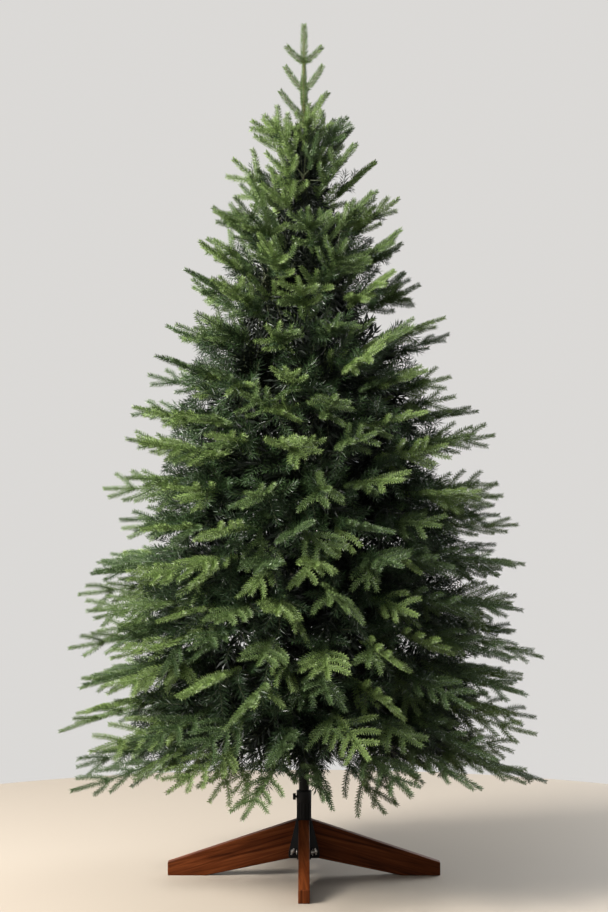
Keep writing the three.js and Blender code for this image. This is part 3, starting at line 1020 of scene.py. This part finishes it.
def grow_sprig(sprig, shoots, roll, small=False):
    """Draws a sprig. A short one that isn't a fork starts nearer to the pole."""
    root = sprig.root
    length, along, side, normal = sprig_frame(sprig)
    inward = 0.0 if small else max(0.0, SPRIG_SHORTEST - length)
    inward = min(inward, max(0.0, math.hypot(root.x, root.y) - INNERMOST_R))

    def place(s, w):
        lift = UP * (sprig.bend * max(0, s / length) ** 2)
        return root + along * s + side * w + normal * (sprig.cup * abs(w)) + lift

    full = length + inward
    slender = ramp(root.z, SLENDER_FROM_Z, SLENDER_TO_Z)
    low, high = SHOOT_ANGLES
    slant = math.radians(low + (high - low) * slender)
    stem = [place(full * i / STEM_PARTS - inward, 0) for i in range(STEM_PARTS + 1)]
    shoots.add(stem, normal, 1.0, RIB_THICK)
    step = SHOOT_STEPS[sprig.pairs] * full
    share = SMALL_FINGER_SHARE if small else FINGER_SHARE
    base = min(max(share * full, FINGER_SHORTEST), FINGER_LONGEST)
    base *= 1 + SLENDER_GAIN * slender
    for i in range(sprig.pairs):
        at = FIRST_SHOOT * full + i * step - inward
        for hand in (1, -1):
            long = base * (1 - FINGER_FALL * i) * between(roll, *FINGER_SHARES)
            angle = slant * between(roll, *SHOOT_ANGLE_SHARES)
            from_here = at + either_way(roll, FINGER_SCATTER * step)
            tip = place(from_here + long * math.cos(angle), hand * long * math.sin(angle))
            bow = side * (hand * FINGER_BOW_OUT * long)
            bow += normal * (FINGER_BOW_UP * long * (roll() - FINGER_BOWS_DOWN))
            line = curve_between(place(from_here, 0), tip, bow)
            shoots.add(line, normal, FINGER_SIZE, RIB_THICK)


# %% Directions and the outline
HEM_Z = 0.305
TOP_MARGIN = 0.03
SHORTENINGS = 12
SHORTENED = 0.9


def heading(azimuth, slope):
    """A unit vector from its azimuth and its slope."""
    return polar(math.cos(slope), azimuth, math.sin(slope))


def angles_of(way):
    """The azimuth and the slope of a vector."""
    return math.atan2(way.y, way.x), math.atan2(way.z, math.hypot(way.x, way.y))


def inside(start, way, share):
    """The end of a twig, shortened until it is above the hem and within a share of the outline."""
    for _ in range(SHORTENINGS):
        end = start + way
        z = min(max(end.z, LOWEST_TIP_Z), HEIGHT - TOP_MARGIN)
        if math.hypot(end.x, end.y) < share * reach(z) and end.z > HEM_Z:
            break
        way = way * SHORTENED
    return start + way


# %% How the inner twigs turn and where they end
DROOP_LOW = -34
DROOP_HIGH = 12
DROOP_FROM_Z = 0.8
DROOP_TO_Z = 1.6
SLIM_FROM_Z = 1.1
SLIM = 0.72


def slim(z):
    """How much nearer to the pole the inner twigs stay, because the top is more open."""
    return 1 - (1 - SLIM) * ramp(z, SLIM_FROM_Z, TOP_ROW_Z)


def droop(z):
    """How far a fork turns down from its sprig, in degrees."""
    return DROOP_LOW + (DROOP_HIGH - DROOP_LOW) * ramp(z, DROOP_FROM_Z, DROOP_TO_Z)


def nearest(limb, place):
    return min(limb, key=lambda p: (p - place).length)


def at_radius(limb, r):
    """The point of a bough that is nearest to a radius."""
    return min(limb, key=lambda p: abs(math.hypot(p.x, p.y) - r))


# %% Small sprigs: forks, risers and the hands below the hem
SMALL_ARM_THICK = (1.8 * mm, 1.4 * mm)
FORKED_TIERS = 5
FORK_SPREAD = (8, 38)
FORK_DROOP_SHARES = (0.1, 1.3)
FORK_TILT = (-6.4, 9.6)
FORK_FOOT = (-0.2, 0.3)
FORK_LENGTH = (0.115, 0.165)
FORK_OUTLINE = (0.6, 0.86)
FORK_SAG = 0.14
FORK_TURN = 70
FORK_CUP = -0.4
TWO_PAIRS_TO_Z = 1.45
# How many risers a bough of each tier has.
RISERS = (0, 0, 3, 6, 10, 8)
RISER_R_SHARES = (0.1, 0.5)
RISER_LENGTH = (0.09, 0.14)
RISER_TILT = (4, 24)
RISER_OUTLINE = 0.72
RISER_SWING = 0.3
RISER_BEND = 0.02
RISER_TURN = 80
# The hands below the hem.
HEM_SPREAD = 0.3
HEM_SPREAD_SCATTER = 0.1
HEM_ASIDE = 0.15
HEM_ASIDE_SCATTER = 0.2
HEM_SAG = 0.015
HEM_TURN = 50
HEM_CUP = -0.3
# Their foot and their tip, each as a range of radius and of height.
HEM_FOOT = ((0.15, 0.21), (0.325, 0.345))
HEM_TIP = ((0.27, 0.37), (0.2, 0.25))


def fork_of(sprig, hand, roll):
    """A smaller sprig from the foot of a sprig, turned aside and hung down."""
    out = sprig.tip - sprig.root
    azimuth, slope = angles_of(out)
    azimuth += hand * math.radians(between(roll, *FORK_SPREAD))
    hang = droop(sprig.root.z) * between(roll, *FORK_DROOP_SHARES)
    slope += math.radians(hang + between(roll, *FORK_TILT))
    start = sprig.root + out * between(roll, *FORK_FOOT)
    length = between(roll, *FORK_LENGTH)
    share = between(roll, *FORK_OUTLINE)
    end = inside(start, heading(azimuth, slope) * length, share * slim(start.z))
    return Sprig(
        root=start,
        tip=end,
        bend=-FORK_SAG * roll() * (end - start).length,
        turn=either_way(roll, FORK_TURN),
        cup=FORK_CUP * roll(),
        pairs=2 if start.z < TWO_PAIRS_TO_Z else 1,
    )


def risers_of(tier, sector, limb, wires, roll):
    """Short steep sprigs from the inner part of an upper bough, which clothe the pole."""
    start, width, _, _, _ = space_of(tier, sector)
    rows = TIERS[tier][1]
    for i in range(RISERS[tier]):
        share = (i + roll()) / RISERS[tier]
        tip_z = row_z(rows_below(tier) - 0.5 + rows * roll())
        r = reach(tip_z) * between(roll, *RISER_R_SHARES)
        foot = polar(r, start + width * share, layer_z(tip_z, r))
        azimuth = start + width * (share + either_way(roll, RISER_SWING))
        slope = elevation(tip_z) + math.radians(between(roll, *RISER_TILT))
        way = heading(azimuth, slope) * between(roll, *RISER_LENGTH)
        end = inside(foot, way, RISER_OUTLINE)
        wires.add([nearest(limb, foot), foot], thick=SMALL_ARM_THICK)
        bend, turn = either_way(roll, RISER_BEND), either_way(roll, RISER_TURN)
        yield Sprig(foot, end, bend, turn, either_way(roll, SPRIG_CUP), pairs=1)


def hem_hands_of(sector, limb, wires, roll):
    """Two sprigs that hang from a lowest bough, on both sides of it."""
    _, width, middle, _, _ = space_of(0, sector)
    for hand in (-1, 1):
        azimuth = middle + width * (HEM_SPREAD * hand + either_way(roll, HEM_SPREAD_SCATTER))
        foot = polar(between(roll, *HEM_FOOT[0]), azimuth, between(roll, *HEM_FOOT[1]))
        azimuth += HEM_ASIDE * hand + either_way(roll, HEM_ASIDE_SCATTER)
        end = polar(between(roll, *HEM_TIP[0]), azimuth, between(roll, *HEM_TIP[1]))
        wires.add([nearest(limb, foot), foot], thick=SMALL_ARM_THICK)
        bend, turn = -HEM_SAG * roll(), either_way(roll, HEM_TURN)
        yield Sprig(foot, end, bend, turn, HEM_CUP * roll(), pairs=2)


# %% Dark brush twigs
BRUSH_THICK = (1.2 * mm, 0.7 * mm)
BRUSH_LENGTH = (0.1, 0.15)
BRUSH_SWING = 110
BRUSH_TILT = (-50.4, 39.6)
BRUSH_OUTLINE = 0.7
BRUSH_BOW = 0.15
# The share of brushes and fillers that bow down.
BOWS_DOWN = 0.3
# The share of an arm that has no brushes, the share of a sprig that has some, and the length
# from which a sprig's brushes are full size.
ARM_BARE = 0.4
SPRIG_BRUSHED = 0.4
FULL_SPRIG = 0.2
# How many a sprig and a bough of each tier have.
BRUSHES_A_SPRIG = (10, 10, 11, 10, 7, 4)
FILLERS_A_BOUGH = (78, 76, 74, 78, 110, 90)
FILLER_THICK = (1.3 * mm, 0.8 * mm)
FILLER_INNER = 0.08
FILLER_OUTLINE = (0.62, 0.62, 0.62, 0.58, 0.46, 0.36)
FILLER_CROWDING = 0.7
FILLER_LOWEST_Z = 0.34
FILLER_BOW = 0.1
FILLER_FOOT = 0.7
SKIRTS_A_BOUGH = 32
SKIRT_R = (0.05, 0.35)
SKIRT_Z = (0.29, 0.35)
SKIRT_FOOT = 0.75


def add_brush(line, brushes, wires):
    """One dark twig with long needles."""
    brushes.add(line)
    wires.add(line[::3], thick=BRUSH_THICK)


def grow_brushes(count, hub, sprig, brushes, wires, roll):
    """Dark twigs along the arm that carries a sprig and along the sprig's foot."""
    root, out = sprig.root, sprig.tip - sprig.root
    small = min(1.0, 0.5 + 0.5 * out.length / FULL_SPRIG)
    for i in range(count):
        t = 2 * (i + roll()) / count
        if t < 1:
            start = hub.lerp(root, ARM_BARE + (1 - ARM_BARE) * t)
        else:
            start = root + out * (SPRIG_BRUSHED * (t - 1))
        azimuth, slope = angles_of(out)
        azimuth += math.radians(either_way(roll, BRUSH_SWING))
        slope += math.radians(between(roll, *BRUSH_TILT))
        length = small * between(roll, *BRUSH_LENGTH)
        end = inside(start, heading(azimuth, slope) * length, BRUSH_OUTLINE * slim(start.z))
        bow = UP * (BRUSH_BOW * length * (roll() - BOWS_DOWN))
        add_brush(curve_between(start, end, bow, 4), brushes[i % 2], wires)


def fill_mass(tier, sector, limb, brushes, wires, roll):
    """The darkest twigs, from the bough to all parts of its mass, which close the view. Their
    nearly black green is painted shade for the inside of the crown.
    """
    start, width, _, _, _ = space_of(tier, sector)
    rows = TIERS[tier][1]
    for i in range(FILLERS_A_BOUGH[tier]):
        share = (i + roll()) / FILLERS_A_BOUGH[tier]
        tip_z = row_z(rows_below(tier) - 0.75 + (rows + 0.5) * roll())
        depth = FILLER_OUTLINE[tier] - FILLER_INNER
        r = reach(tip_z) * (FILLER_INNER + depth * roll() ** FILLER_CROWDING)
        end = polar(r, start + width * share, layer_z(tip_z, r))
        end.z = max(end.z, FILLER_LOWEST_Z)
        foot = at_radius(limb, FILLER_FOOT * r)
        bow = UP * (FILLER_BOW * (end - foot).length * (roll() - BOWS_DOWN))
        line = curve_between(foot, end, bow, 5)
        brushes.add(line[1:])
        wires.add(line[::2], thick=FILLER_THICK)


def hang_skirt(sector, limb, brushes, wires, roll):
    """Twigs that hang from the lowest boughs and hide the pole below them."""
    start, width, _, _, _ = space_of(0, sector)
    for i in range(SKIRTS_A_BOUGH):
        share = (i + roll()) / SKIRTS_A_BOUGH
        r = between(roll, *SKIRT_R)
        end = polar(r, start + width * share, between(roll, *SKIRT_Z))
        foot = at_radius(limb, SKIRT_FOOT * r)
        bow = UP * (FILLER_BOW * (end - foot).length)
        line = curve_between(foot, end, bow, 4)
        add_brush(line, brushes, wires)


# %% Boughs and the arms that fork from them
BOUGH_R = 2.2 * mm
BOUGH_R_SHARE = 0.005
BOUGH_TAPER = 0.6
BOUGH_POINTS = 8
BOUGH_END = 1.25
POLE_THIN_FROM_Z = 1.1
ARM_THICK = (2.0 * mm, 1.5 * mm)
ARM_SAG = 0.02


def grow_limb(tier, sector, sprigs, limbs, wires):
    """The bough of a mass, from the pole to its hub, and an arm from the hub to each sprig."""
    _, _, middle, middle_z, inner = space_of(tier, sector)
    pole_r = POLE_R if middle_z < POLE_THIN_FROM_Z else POLE_TOP_R
    thick = BOUGH_R + BOUGH_R_SHARE * reach(middle_z)
    radii = np.linspace(pole_r - 1 * mm, BOUGH_END * inner, BOUGH_POINTS)
    line = [polar(r, middle, layer_z(middle_z, r)) for r in radii]
    limbs.add(line, thick=(thick, BOUGH_TAPER * thick))
    hub = line[-2]
    for sprig in sprigs:
        sag = UP * (-ARM_SAG * (sprig.root - hub).length)
        wires.add(curve_between(hub, sprig.root, sag, 4), thick=ARM_THICK)
    return line


# %% Grow every mass
FINER_SEED = 555
BRUSH_TONES = ("shade", "dusk", "filler")
tiers = range(len(TIERS))
shoot_lines = {(t, tone): Lines() for t in tiers for tone in TONES}
brush_lines = {(t, tone): Lines() for t in tiers for tone in BRUSH_TONES}
wire_lines = [Lines() for _ in TIERS]
limb_lines = [Lines() for _ in TIERS]


def deal_tone(roll):
    """One of the three greens, the brighter ones more often."""
    drawn = roll()
    return TONES[sum(drawn > share for share in TONE_SHARES)]


for tier in tiers:
    wires = wire_lines[tier]
    for sector in range(TIERS[tier][0]):
        finer = dice(FINER_SEED + 1000 * tier + 31 * sector)
        sprigs = sprigs_of(tier, sector)
        limb = grow_limb(tier, sector, sprigs, limb_lines[tier], wires)
        fill_mass(tier, sector, limb, brush_lines[tier, "filler"], wires, finer)
        if tier == 0:
            hang_skirt(sector, limb, brush_lines[tier, "shade"], wires, finer)
            for sprig in hem_hands_of(sector, limb, wires, finer):
                grow_sprig(sprig, shoot_lines[tier, deal_tone(finer)], finer, small=True)
        for sprig in risers_of(tier, sector, limb, wires, finer):
            grow_sprig(sprig, shoot_lines[tier, deal_tone(finer)], finer, small=True)
        for sprig in sprigs:
            grow_sprig(sprig, shoot_lines[tier, deal_tone(finer)], finer)
            hand = 1 if finer() < 0.5 else -1
            if tier < FORKED_TIERS:
                fork = fork_of(sprig, hand, finer)
                grow_sprig(fork, shoot_lines[tier, deal_tone(finer)], finer, small=True)
            pair = [brush_lines[tier, tone] for tone in BRUSH_TONES[:2]]
            grow_brushes(BRUSHES_A_SPRIG[tier], limb[-2], sprig, pair, wires, finer)
print("shoots:", sum(len(lines.starts) for lines in shoot_lines.values()))
print("brush twigs:", sum(len(lines.starts) for lines in brush_lines.values()))

# %% [markdown]
# ## Needles
#
# A needle is a sliver folded along its ridge: two faces in the outline of a long kite. One tree
# sets needles along every line that it is given. It walks along the line in equal steps, turns
# each needle round the stem by the golden angle, as plants do, and leans it forward, more
# towards the tip, which closes the shoot to a soft point.


# %% The needle
def needle_mesh():
    """A unit needle that points along Z and is one wide along X."""
    made = bpy.data.meshes.new("needle")
    foot, tip, left, right = (0, 0.2, 0), (0, 0.1, 1), (-0.5, -0.2, 0.5), (0.5, -0.2, 0.5)
    made.from_pydata([foot, tip, left, right], [], [(0, 1, 2), (0, 3, 1)])
    return made


needle = link("needle", needle_mesh())


# %% Parts of the needle tree
def attribute(tree, name, kind="FLOAT"):
    read = node(tree, "GeometryNodeInputNamedAttribute", {"data_type": kind}, Name=name)
    return read.outputs[0]


def aligned(tree, settings, vector, **inputs):
    made = node(tree, "FunctionNodeAlignRotationToVector", settings, Vector=vector, **inputs)
    return made.outputs[0]


def turned_by(tree, rotation, axis, angle):
    """A rotation turned on about one of its own axes."""
    turn = node(tree, "FunctionNodeAxisAngleToRotation", Axis=axis, Angle=angle)
    inputs = {"Rotation": rotation, "Rotate_By": turn.outputs[0]}
    settings = {"rotation_space": "LOCAL"}
    return node(tree, "FunctionNodeRotateRotation", settings, **inputs).outputs[0]


def drawn(tree, seed, low, high):
    """A number for each needle, between two others."""
    settings = {"data_type": "FLOAT"}
    made = node(tree, "FunctionNodeRandomValue", settings, i2=low, i3=high, Seed=seed)
    return made.outputs[1]


# %% The tree that sets needles along lines
GOLDEN_ANGLE = math.radians(137.508)
FIRST_TURN = math.radians(30)
STRAY = 0.09
TWIST = 0.8
LENGTH_SHARES = (0.9, 1.08)
# How late the shoot closes towards its tip: a power of the way along it.
CLOSING_POWER = 5.0


def needle_tree():
    tree, given, result = group(
        "needles along lines",
        ("Needle", "Object", None),
        ("Material", "Material", None),
        ("Spacing", "Float", 1.6 * mm),
        ("Length", "Float", 15 * mm),
        ("Width", "Float", 2.4 * mm),
        ("Lean at foot", "Float", 1.0),
        ("Lean at tip", "Float", 0.5),
        ("Taper", "Float", 0.35),
        ("Flat", "Float", 0.0),
        ("Seed", "Int", 1),
    )
    want = given.outputs
    curve = node(tree, "GeometryNodeMeshToCurve", Mesh=want["Geometry"])
    kept = node(
        tree,
        "GeometryNodeStoreNamedAttribute",
        {"data_type": "FLOAT", "domain": "POINT"},
        Geometry=curve.outputs[0],
        Name="along",
        Value=node(tree, "GeometryNodeSplineParameter").outputs["Factor"],
    )
    points = node(
        tree,
        "GeometryNodeCurveToPoints",
        {"mode": "LENGTH"},
        Curve=kept.outputs[0],
        Length=want["Spacing"],
    )

    # Where a needle points: along the stem, round it by the golden angle, out from it, and
    # last about itself.
    index = node(tree, "GeometryNodeInputIndex").outputs[0]
    golden = maths(tree, "MULTIPLY_ADD", index, GOLDEN_ANGLE, FIRST_TURN)
    late = maths(tree, "POWER", attribute(tree, "along"), CLOSING_POWER)
    lean = span(tree, late, want["Lean at foot"], want["Lean at tip"])
    lean = maths(tree, "ADD", lean, drawn(tree, want["Seed"], -STRAY, STRAY))
    twist = drawn(tree, want["Seed"], -TWIST, TWIST)
    up = attribute(tree, "up", "FLOAT_VECTOR")
    way = aligned(tree, {"axis": "Z"}, points.outputs["Tangent"])
    way = aligned(tree, {"axis": "X", "pivot_axis": "Z"}, up, Rotation=way)
    way = turned_by(tree, way, (0, 0, 1), golden)
    way = turned_by(tree, way, (0, 1, 0), lean)
    way = turned_by(tree, way, (0, 0, 1), twist)

    # How long it is: shorter at the shoot's tip, and above and below the stem.
    full = maths(tree, "SUBTRACT", 1.0, maths(tree, "MULTIPLY", late, want["Taper"]))
    share = maths(tree, "MULTIPLY", full, drawn(tree, want["Seed"], *LENGTH_SHARES))
    share = maths(tree, "MULTIPLY", share, attribute(tree, "size"))
    long = maths(tree, "MULTIPLY", share, want["Length"])
    upward = maths(tree, "COSINE", golden)
    squared = maths(tree, "MULTIPLY", upward, upward)
    flat = span(tree, squared, 1.0, maths(tree, "SUBTRACT", 1.0, want["Flat"]))
    long = maths(tree, "MULTIPLY", long, flat)

    scale = node(tree, "ShaderNodeCombineXYZ", X=want["Width"], Y=want["Width"], Z=long)
    shape = node(tree, "GeometryNodeObjectInfo", Object=want["Needle"])
    copies = repeated(
        tree,
        Points=points.outputs[0],
        Instance=shape.outputs["Geometry"],
        Rotation=way,
        Scale=scale.outputs[0],
    )
    return end_tree(tree, given, result, copies)


NEEDLES_ALONG_LINES = needle_tree()

# %% [markdown]
# ## Needle colours
#
# The moulded tips come in three greens, which are dealt out by the sprig: a yellow-green, a
# leaf green and a deep one. The foil of the brush twigs has three darker greens, and the one
# deep inside is nearly black, which is painted shade for the inside of the crown. All of it is
# plastic with a soft gloss, which makes the glints.


# %% Plastic greens
def needle_material(name, color, roughness):
    made, tree, shader = new_material(name, color, roughness)
    patches = noise(tree, object_place(tree), 60.0, 2.0)
    set_gloss(tree, shader, patches, roughness - 0.12, roughness + 0.12, 0.3, 0.7)
    return made


TIP_GREENS = {
    "fresh": needle_material("yellow-green tips", (0.205, 0.290, 0.090), 0.4),
    "leafy": needle_material("leaf-green tips", (0.140, 0.208, 0.068), 0.4),
    "deep": needle_material("deep-green tips", (0.088, 0.140, 0.050), 0.38),
}
BRUSH_GREENS = {
    "dusk": needle_material("dusk-green foil", (0.046, 0.088, 0.030), 0.36),
    "shade": needle_material("shade-green foil", (0.022, 0.046, 0.016), 0.36),
    # The foil deep inside the crown is nearly black: painted shade.
    "filler": needle_material("near-black painted-shade foil", (0.005, 0.010, 0.004), 0.5),
}

# %% Needles on the shoots and the brush twigs
def grown(name, lines, tree, slot, nodes, **values):
    """Grows a piece along lines and counts its triangles."""
    return finish_piece(bake(name, lines.mesh(name), tree, **values), slot, *nodes)


MASS_NODES = [
    [f"needles_{tier + 1}_{sector + 1}" for sector in range(sectors)]
    for tier, (sectors, _, _, _) in enumerate(TIERS)
]
TIP_NEEDLES = {
    "Needle": needle,
    "Spacing": 0.75 * mm,
    "Length": 13 * mm,
    "Width": 2.4 * mm,
    "Lean at foot": math.radians(62),
    "Lean at tip": math.radians(42),
    "Taper": 0.15,
    "Flat": 0.2,
}
BRUSH_NEEDLES = {
    "Needle": needle,
    "Spacing": 1.6 * mm,
    "Length": 28 * mm,
    "Width": 2.3 * mm,
    "Lean at foot": math.radians(50),
    "Lean at tip": math.radians(28),
    "Taper": 0.3,
    "Flat": 0.25,
}
FILLER_NEEDLES = dict(BRUSH_NEEDLES, Spacing=4.2 * mm, Length=46 * mm, Width=8 * mm)
TOP_TIP_NEEDLES = dict(TIP_NEEDLES, Length=14 * mm, Spacing=0.6 * mm)
TOP_BRUSH_NEEDLES = dict(BRUSH_NEEDLES, Length=22 * mm)
TOP_FILLER_NEEDLES = dict(FILLER_NEEDLES, Spacing=3.0 * mm, Length=30 * mm, Width=6 * mm)
TOP_TIER = 4
# In these lowest tiers all brush twigs have the two darkest greens: painted shade under the boughs
# above.
SHADED_TIERS = 2

total = 0
for tier in tiers:
    for tone in TONES:
        total += grown(
            f"tips_{tier + 1}_{tone}",
            shoot_lines[tier, tone],
            NEEDLES_ALONG_LINES,
            "needles",
            MASS_NODES[tier],
            Material=TIP_GREENS[tone],
            Seed=10 * tier,
            **(TIP_NEEDLES if tier < TOP_TIER else TOP_TIP_NEEDLES),
        )
    for tone in BRUSH_TONES:
        green = "shade" if tone == "dusk" and tier < SHADED_TIERS else tone
        needles = FILLER_NEEDLES if tone == "filler" else BRUSH_NEEDLES
        if tier >= TOP_TIER:
            needles = TOP_FILLER_NEEDLES if tone == "filler" else TOP_BRUSH_NEEDLES
        total += grown(
            f"brushes_{tier + 1}_{tone}",
            brush_lines[tier, tone],
            NEEDLES_ALONG_LINES,
            "needles",
            MASS_NODES[tier],
            Material=BRUSH_GREENS[green],
            Seed=10 * tier + 5,
            **needles,
        )
print("triangles in the needles:", total)
for kind in ("tips", "brushes"):
    print(kind, sum(len(o.data.polygons) for o in bpy.data.objects if o.name.startswith(kind)))

# %% [markdown]
# ## Wires
#
# Twigs are thin wire, and boughs are thicker wire that is wound with a strip of brown film. A
# tree gives the lines a round section whose thickness the lines carry along. The wound film
# shows as a bump in rings round the bough.


# %% The tree that gives lines a thickness
def wire_tree():
    tree, given, result = group(
        "wires along lines", ("Material", "Material", None), ("Sides", "Int", 4)
    )
    curve = node(tree, "GeometryNodeMeshToCurve", Mesh=given.outputs["Geometry"])
    circle = node(
        tree, "GeometryNodeCurvePrimitiveCircle", Resolution=given.outputs["Sides"], Radius=1.0
    )
    tube = node(
        tree,
        "GeometryNodeCurveToMesh",
        Curve=curve.outputs[0],
        Profile_Curve=circle.outputs[0],
        Scale=attribute(tree, "thick"),
        Fill_Caps=True,
    )
    return end_tree(tree, given, result, tube.outputs[0])


WIRES_ALONG_LINES = wire_tree()


# %% Film and wire finishes
def film_material(name, color, rings):
    made, tree, shader = new_material(name, color, 0.6)
    winding = node(
        tree,
        "ShaderNodeTexWave",
        {"wave_type": "RINGS", "rings_direction": "SPHERICAL"},
        Vector=object_place(tree),
        Scale=rings,
        Distortion=1.5,
        Detail=1.0,
    ).outputs[1]
    set_relief(tree, shader, winding, 0.6, 0.8 * mm)
    set_gloss(tree, shader, winding, 0.5, 0.75)
    return made


TWIG_OLIVE = film_material("olive twig stem", (0.050, 0.062, 0.022), 150.0)
BOUGH_FILM = film_material("wound bough film", (0.045, 0.040, 0.020), 90.0)
LEADER_OLIVE = film_material("olive leader stem", (0.16, 0.15, 0.05), 150.0)

# %% Ribs of the moulded tips, each a shade darker than its needles
RIB_GREENS = {
    "fresh": TIP_GREENS["leafy"],
    "leafy": TIP_GREENS["deep"],
    "deep": BRUSH_GREENS["dusk"],
}
ALL_MASSES = [name for names in MASS_NODES for name in names]
for tone in TONES:
    every_shoot = Lines()
    for tier in tiers:
        every_shoot.take(shoot_lines[tier, tone])
    look = {"Material": RIB_GREENS[tone], "Sides": 3}
    total += grown(
        f"ribs_{tone}", every_shoot, WIRES_ALONG_LINES, "needles", ALL_MASSES, **look
    )

# %% Twigs and boughs
BOUGH_NODES = [[name.replace("needles", "bough") for name in names] for names in MASS_NODES]
twig_look = {"Material": TWIG_OLIVE, "Sides": 3}
bough_look = {"Material": BOUGH_FILM, "Sides": 10}
for tier in tiers:
    name, lines, nodes = f"twigs_{tier + 1}", wire_lines[tier], MASS_NODES[tier]
    total += grown(name, lines, WIRES_ALONG_LINES, "boughs", nodes, **twig_look)
    name, lines, nodes = f"boughs_{tier + 1}", limb_lines[tier], BOUGH_NODES[tier]
    total += grown(name, lines, WIRES_ALONG_LINES, "boughs", nodes, **bough_look)

# %% [markdown]
# ## The leader
#
# The top of the tree is one upright shoot with pairs of side shoots that stand out in a flat
# fan. Its needles are finer and stand closer, and they are shorter between the pairs, where the
# olive stem shows through.

# %% Leader
LEADER_FORK_Z = HEIGHT - 0.100
LEADER_STEM_SIZE = 0.8
LEADER_STEM_THICK = (4 * mm, 1 * mm)
# Each pair of shoots: its height below the tip, azimuth, length, and slope.
LEADER_SHOOTS = [
    (0.100, 4, 0.062, 42),
    (0.171, -8, 0.082, 53),
    (0.205, 88, 0.084, 48),
    (0.236, 10, 0.092, 47),
]
LEADER_SHOOT_SHARE = 0.93
LEADER_SHOOT_SAG = 0.05
LEADER_SHOOT_SIZE = 0.95
LEADER_SHOOT_THICK = (1.3 * mm, 0.8 * mm)
LEADER_NEEDLES = dict(TIP_NEEDLES, Length=14 * mm, Spacing=0.35 * mm, Width=1.8 * mm, Flat=0.0)


def upright(low_z, high_z, count):
    """A line on the tree's axis."""
    return curve_between(Vector((0, 0, low_z)), Vector((0, 0, high_z)), Vector(), count)


leader_lines = Lines()
leader_wires = Lines()
front = Vector((0, -1, 0))
leader_lines.add(upright(LEADER_FORK_Z - 4 * mm, HEIGHT - 9 * mm, 6), front)
leader_lines.add(upright(POLE_TOP_Z, LEADER_FORK_Z, 8), front, LEADER_STEM_SIZE)
leader_wires.add(upright(POLE_TOP_Z, HEIGHT - 6 * mm, 10), front, thick=LEADER_STEM_THICK)
for down, degrees, long, slope in LEADER_SHOOTS:
    for turn in (degrees, degrees + 180):
        start = Vector((0, 0, HEIGHT - down))
        out = heading(math.radians(turn), math.radians(slope)) * long
        sag = UP * (-LEADER_SHOOT_SAG * long)
        line = curve_between(start, start + out * LEADER_SHOOT_SHARE, sag)
        leader_lines.add(line, front, LEADER_SHOOT_SIZE)
        leader_wires.add(line, front, thick=LEADER_SHOOT_THICK)

total += grown(
    "leader_needles",
    leader_lines,
    NEEDLES_ALONG_LINES,
    "leader",
    ["leader"],
    Material=TIP_GREENS["leafy"],
    Seed=77,
    **LEADER_NEEDLES,
)
leader_look = {"Material": LEADER_OLIVE, "Sides": 8}
total += grown(
    "leader_stem", leader_wires, WIRES_ALONG_LINES, "leader", ["leader"], **leader_look
)
bpy.data.objects.remove(needle)
print("triangles in the crown:", total)
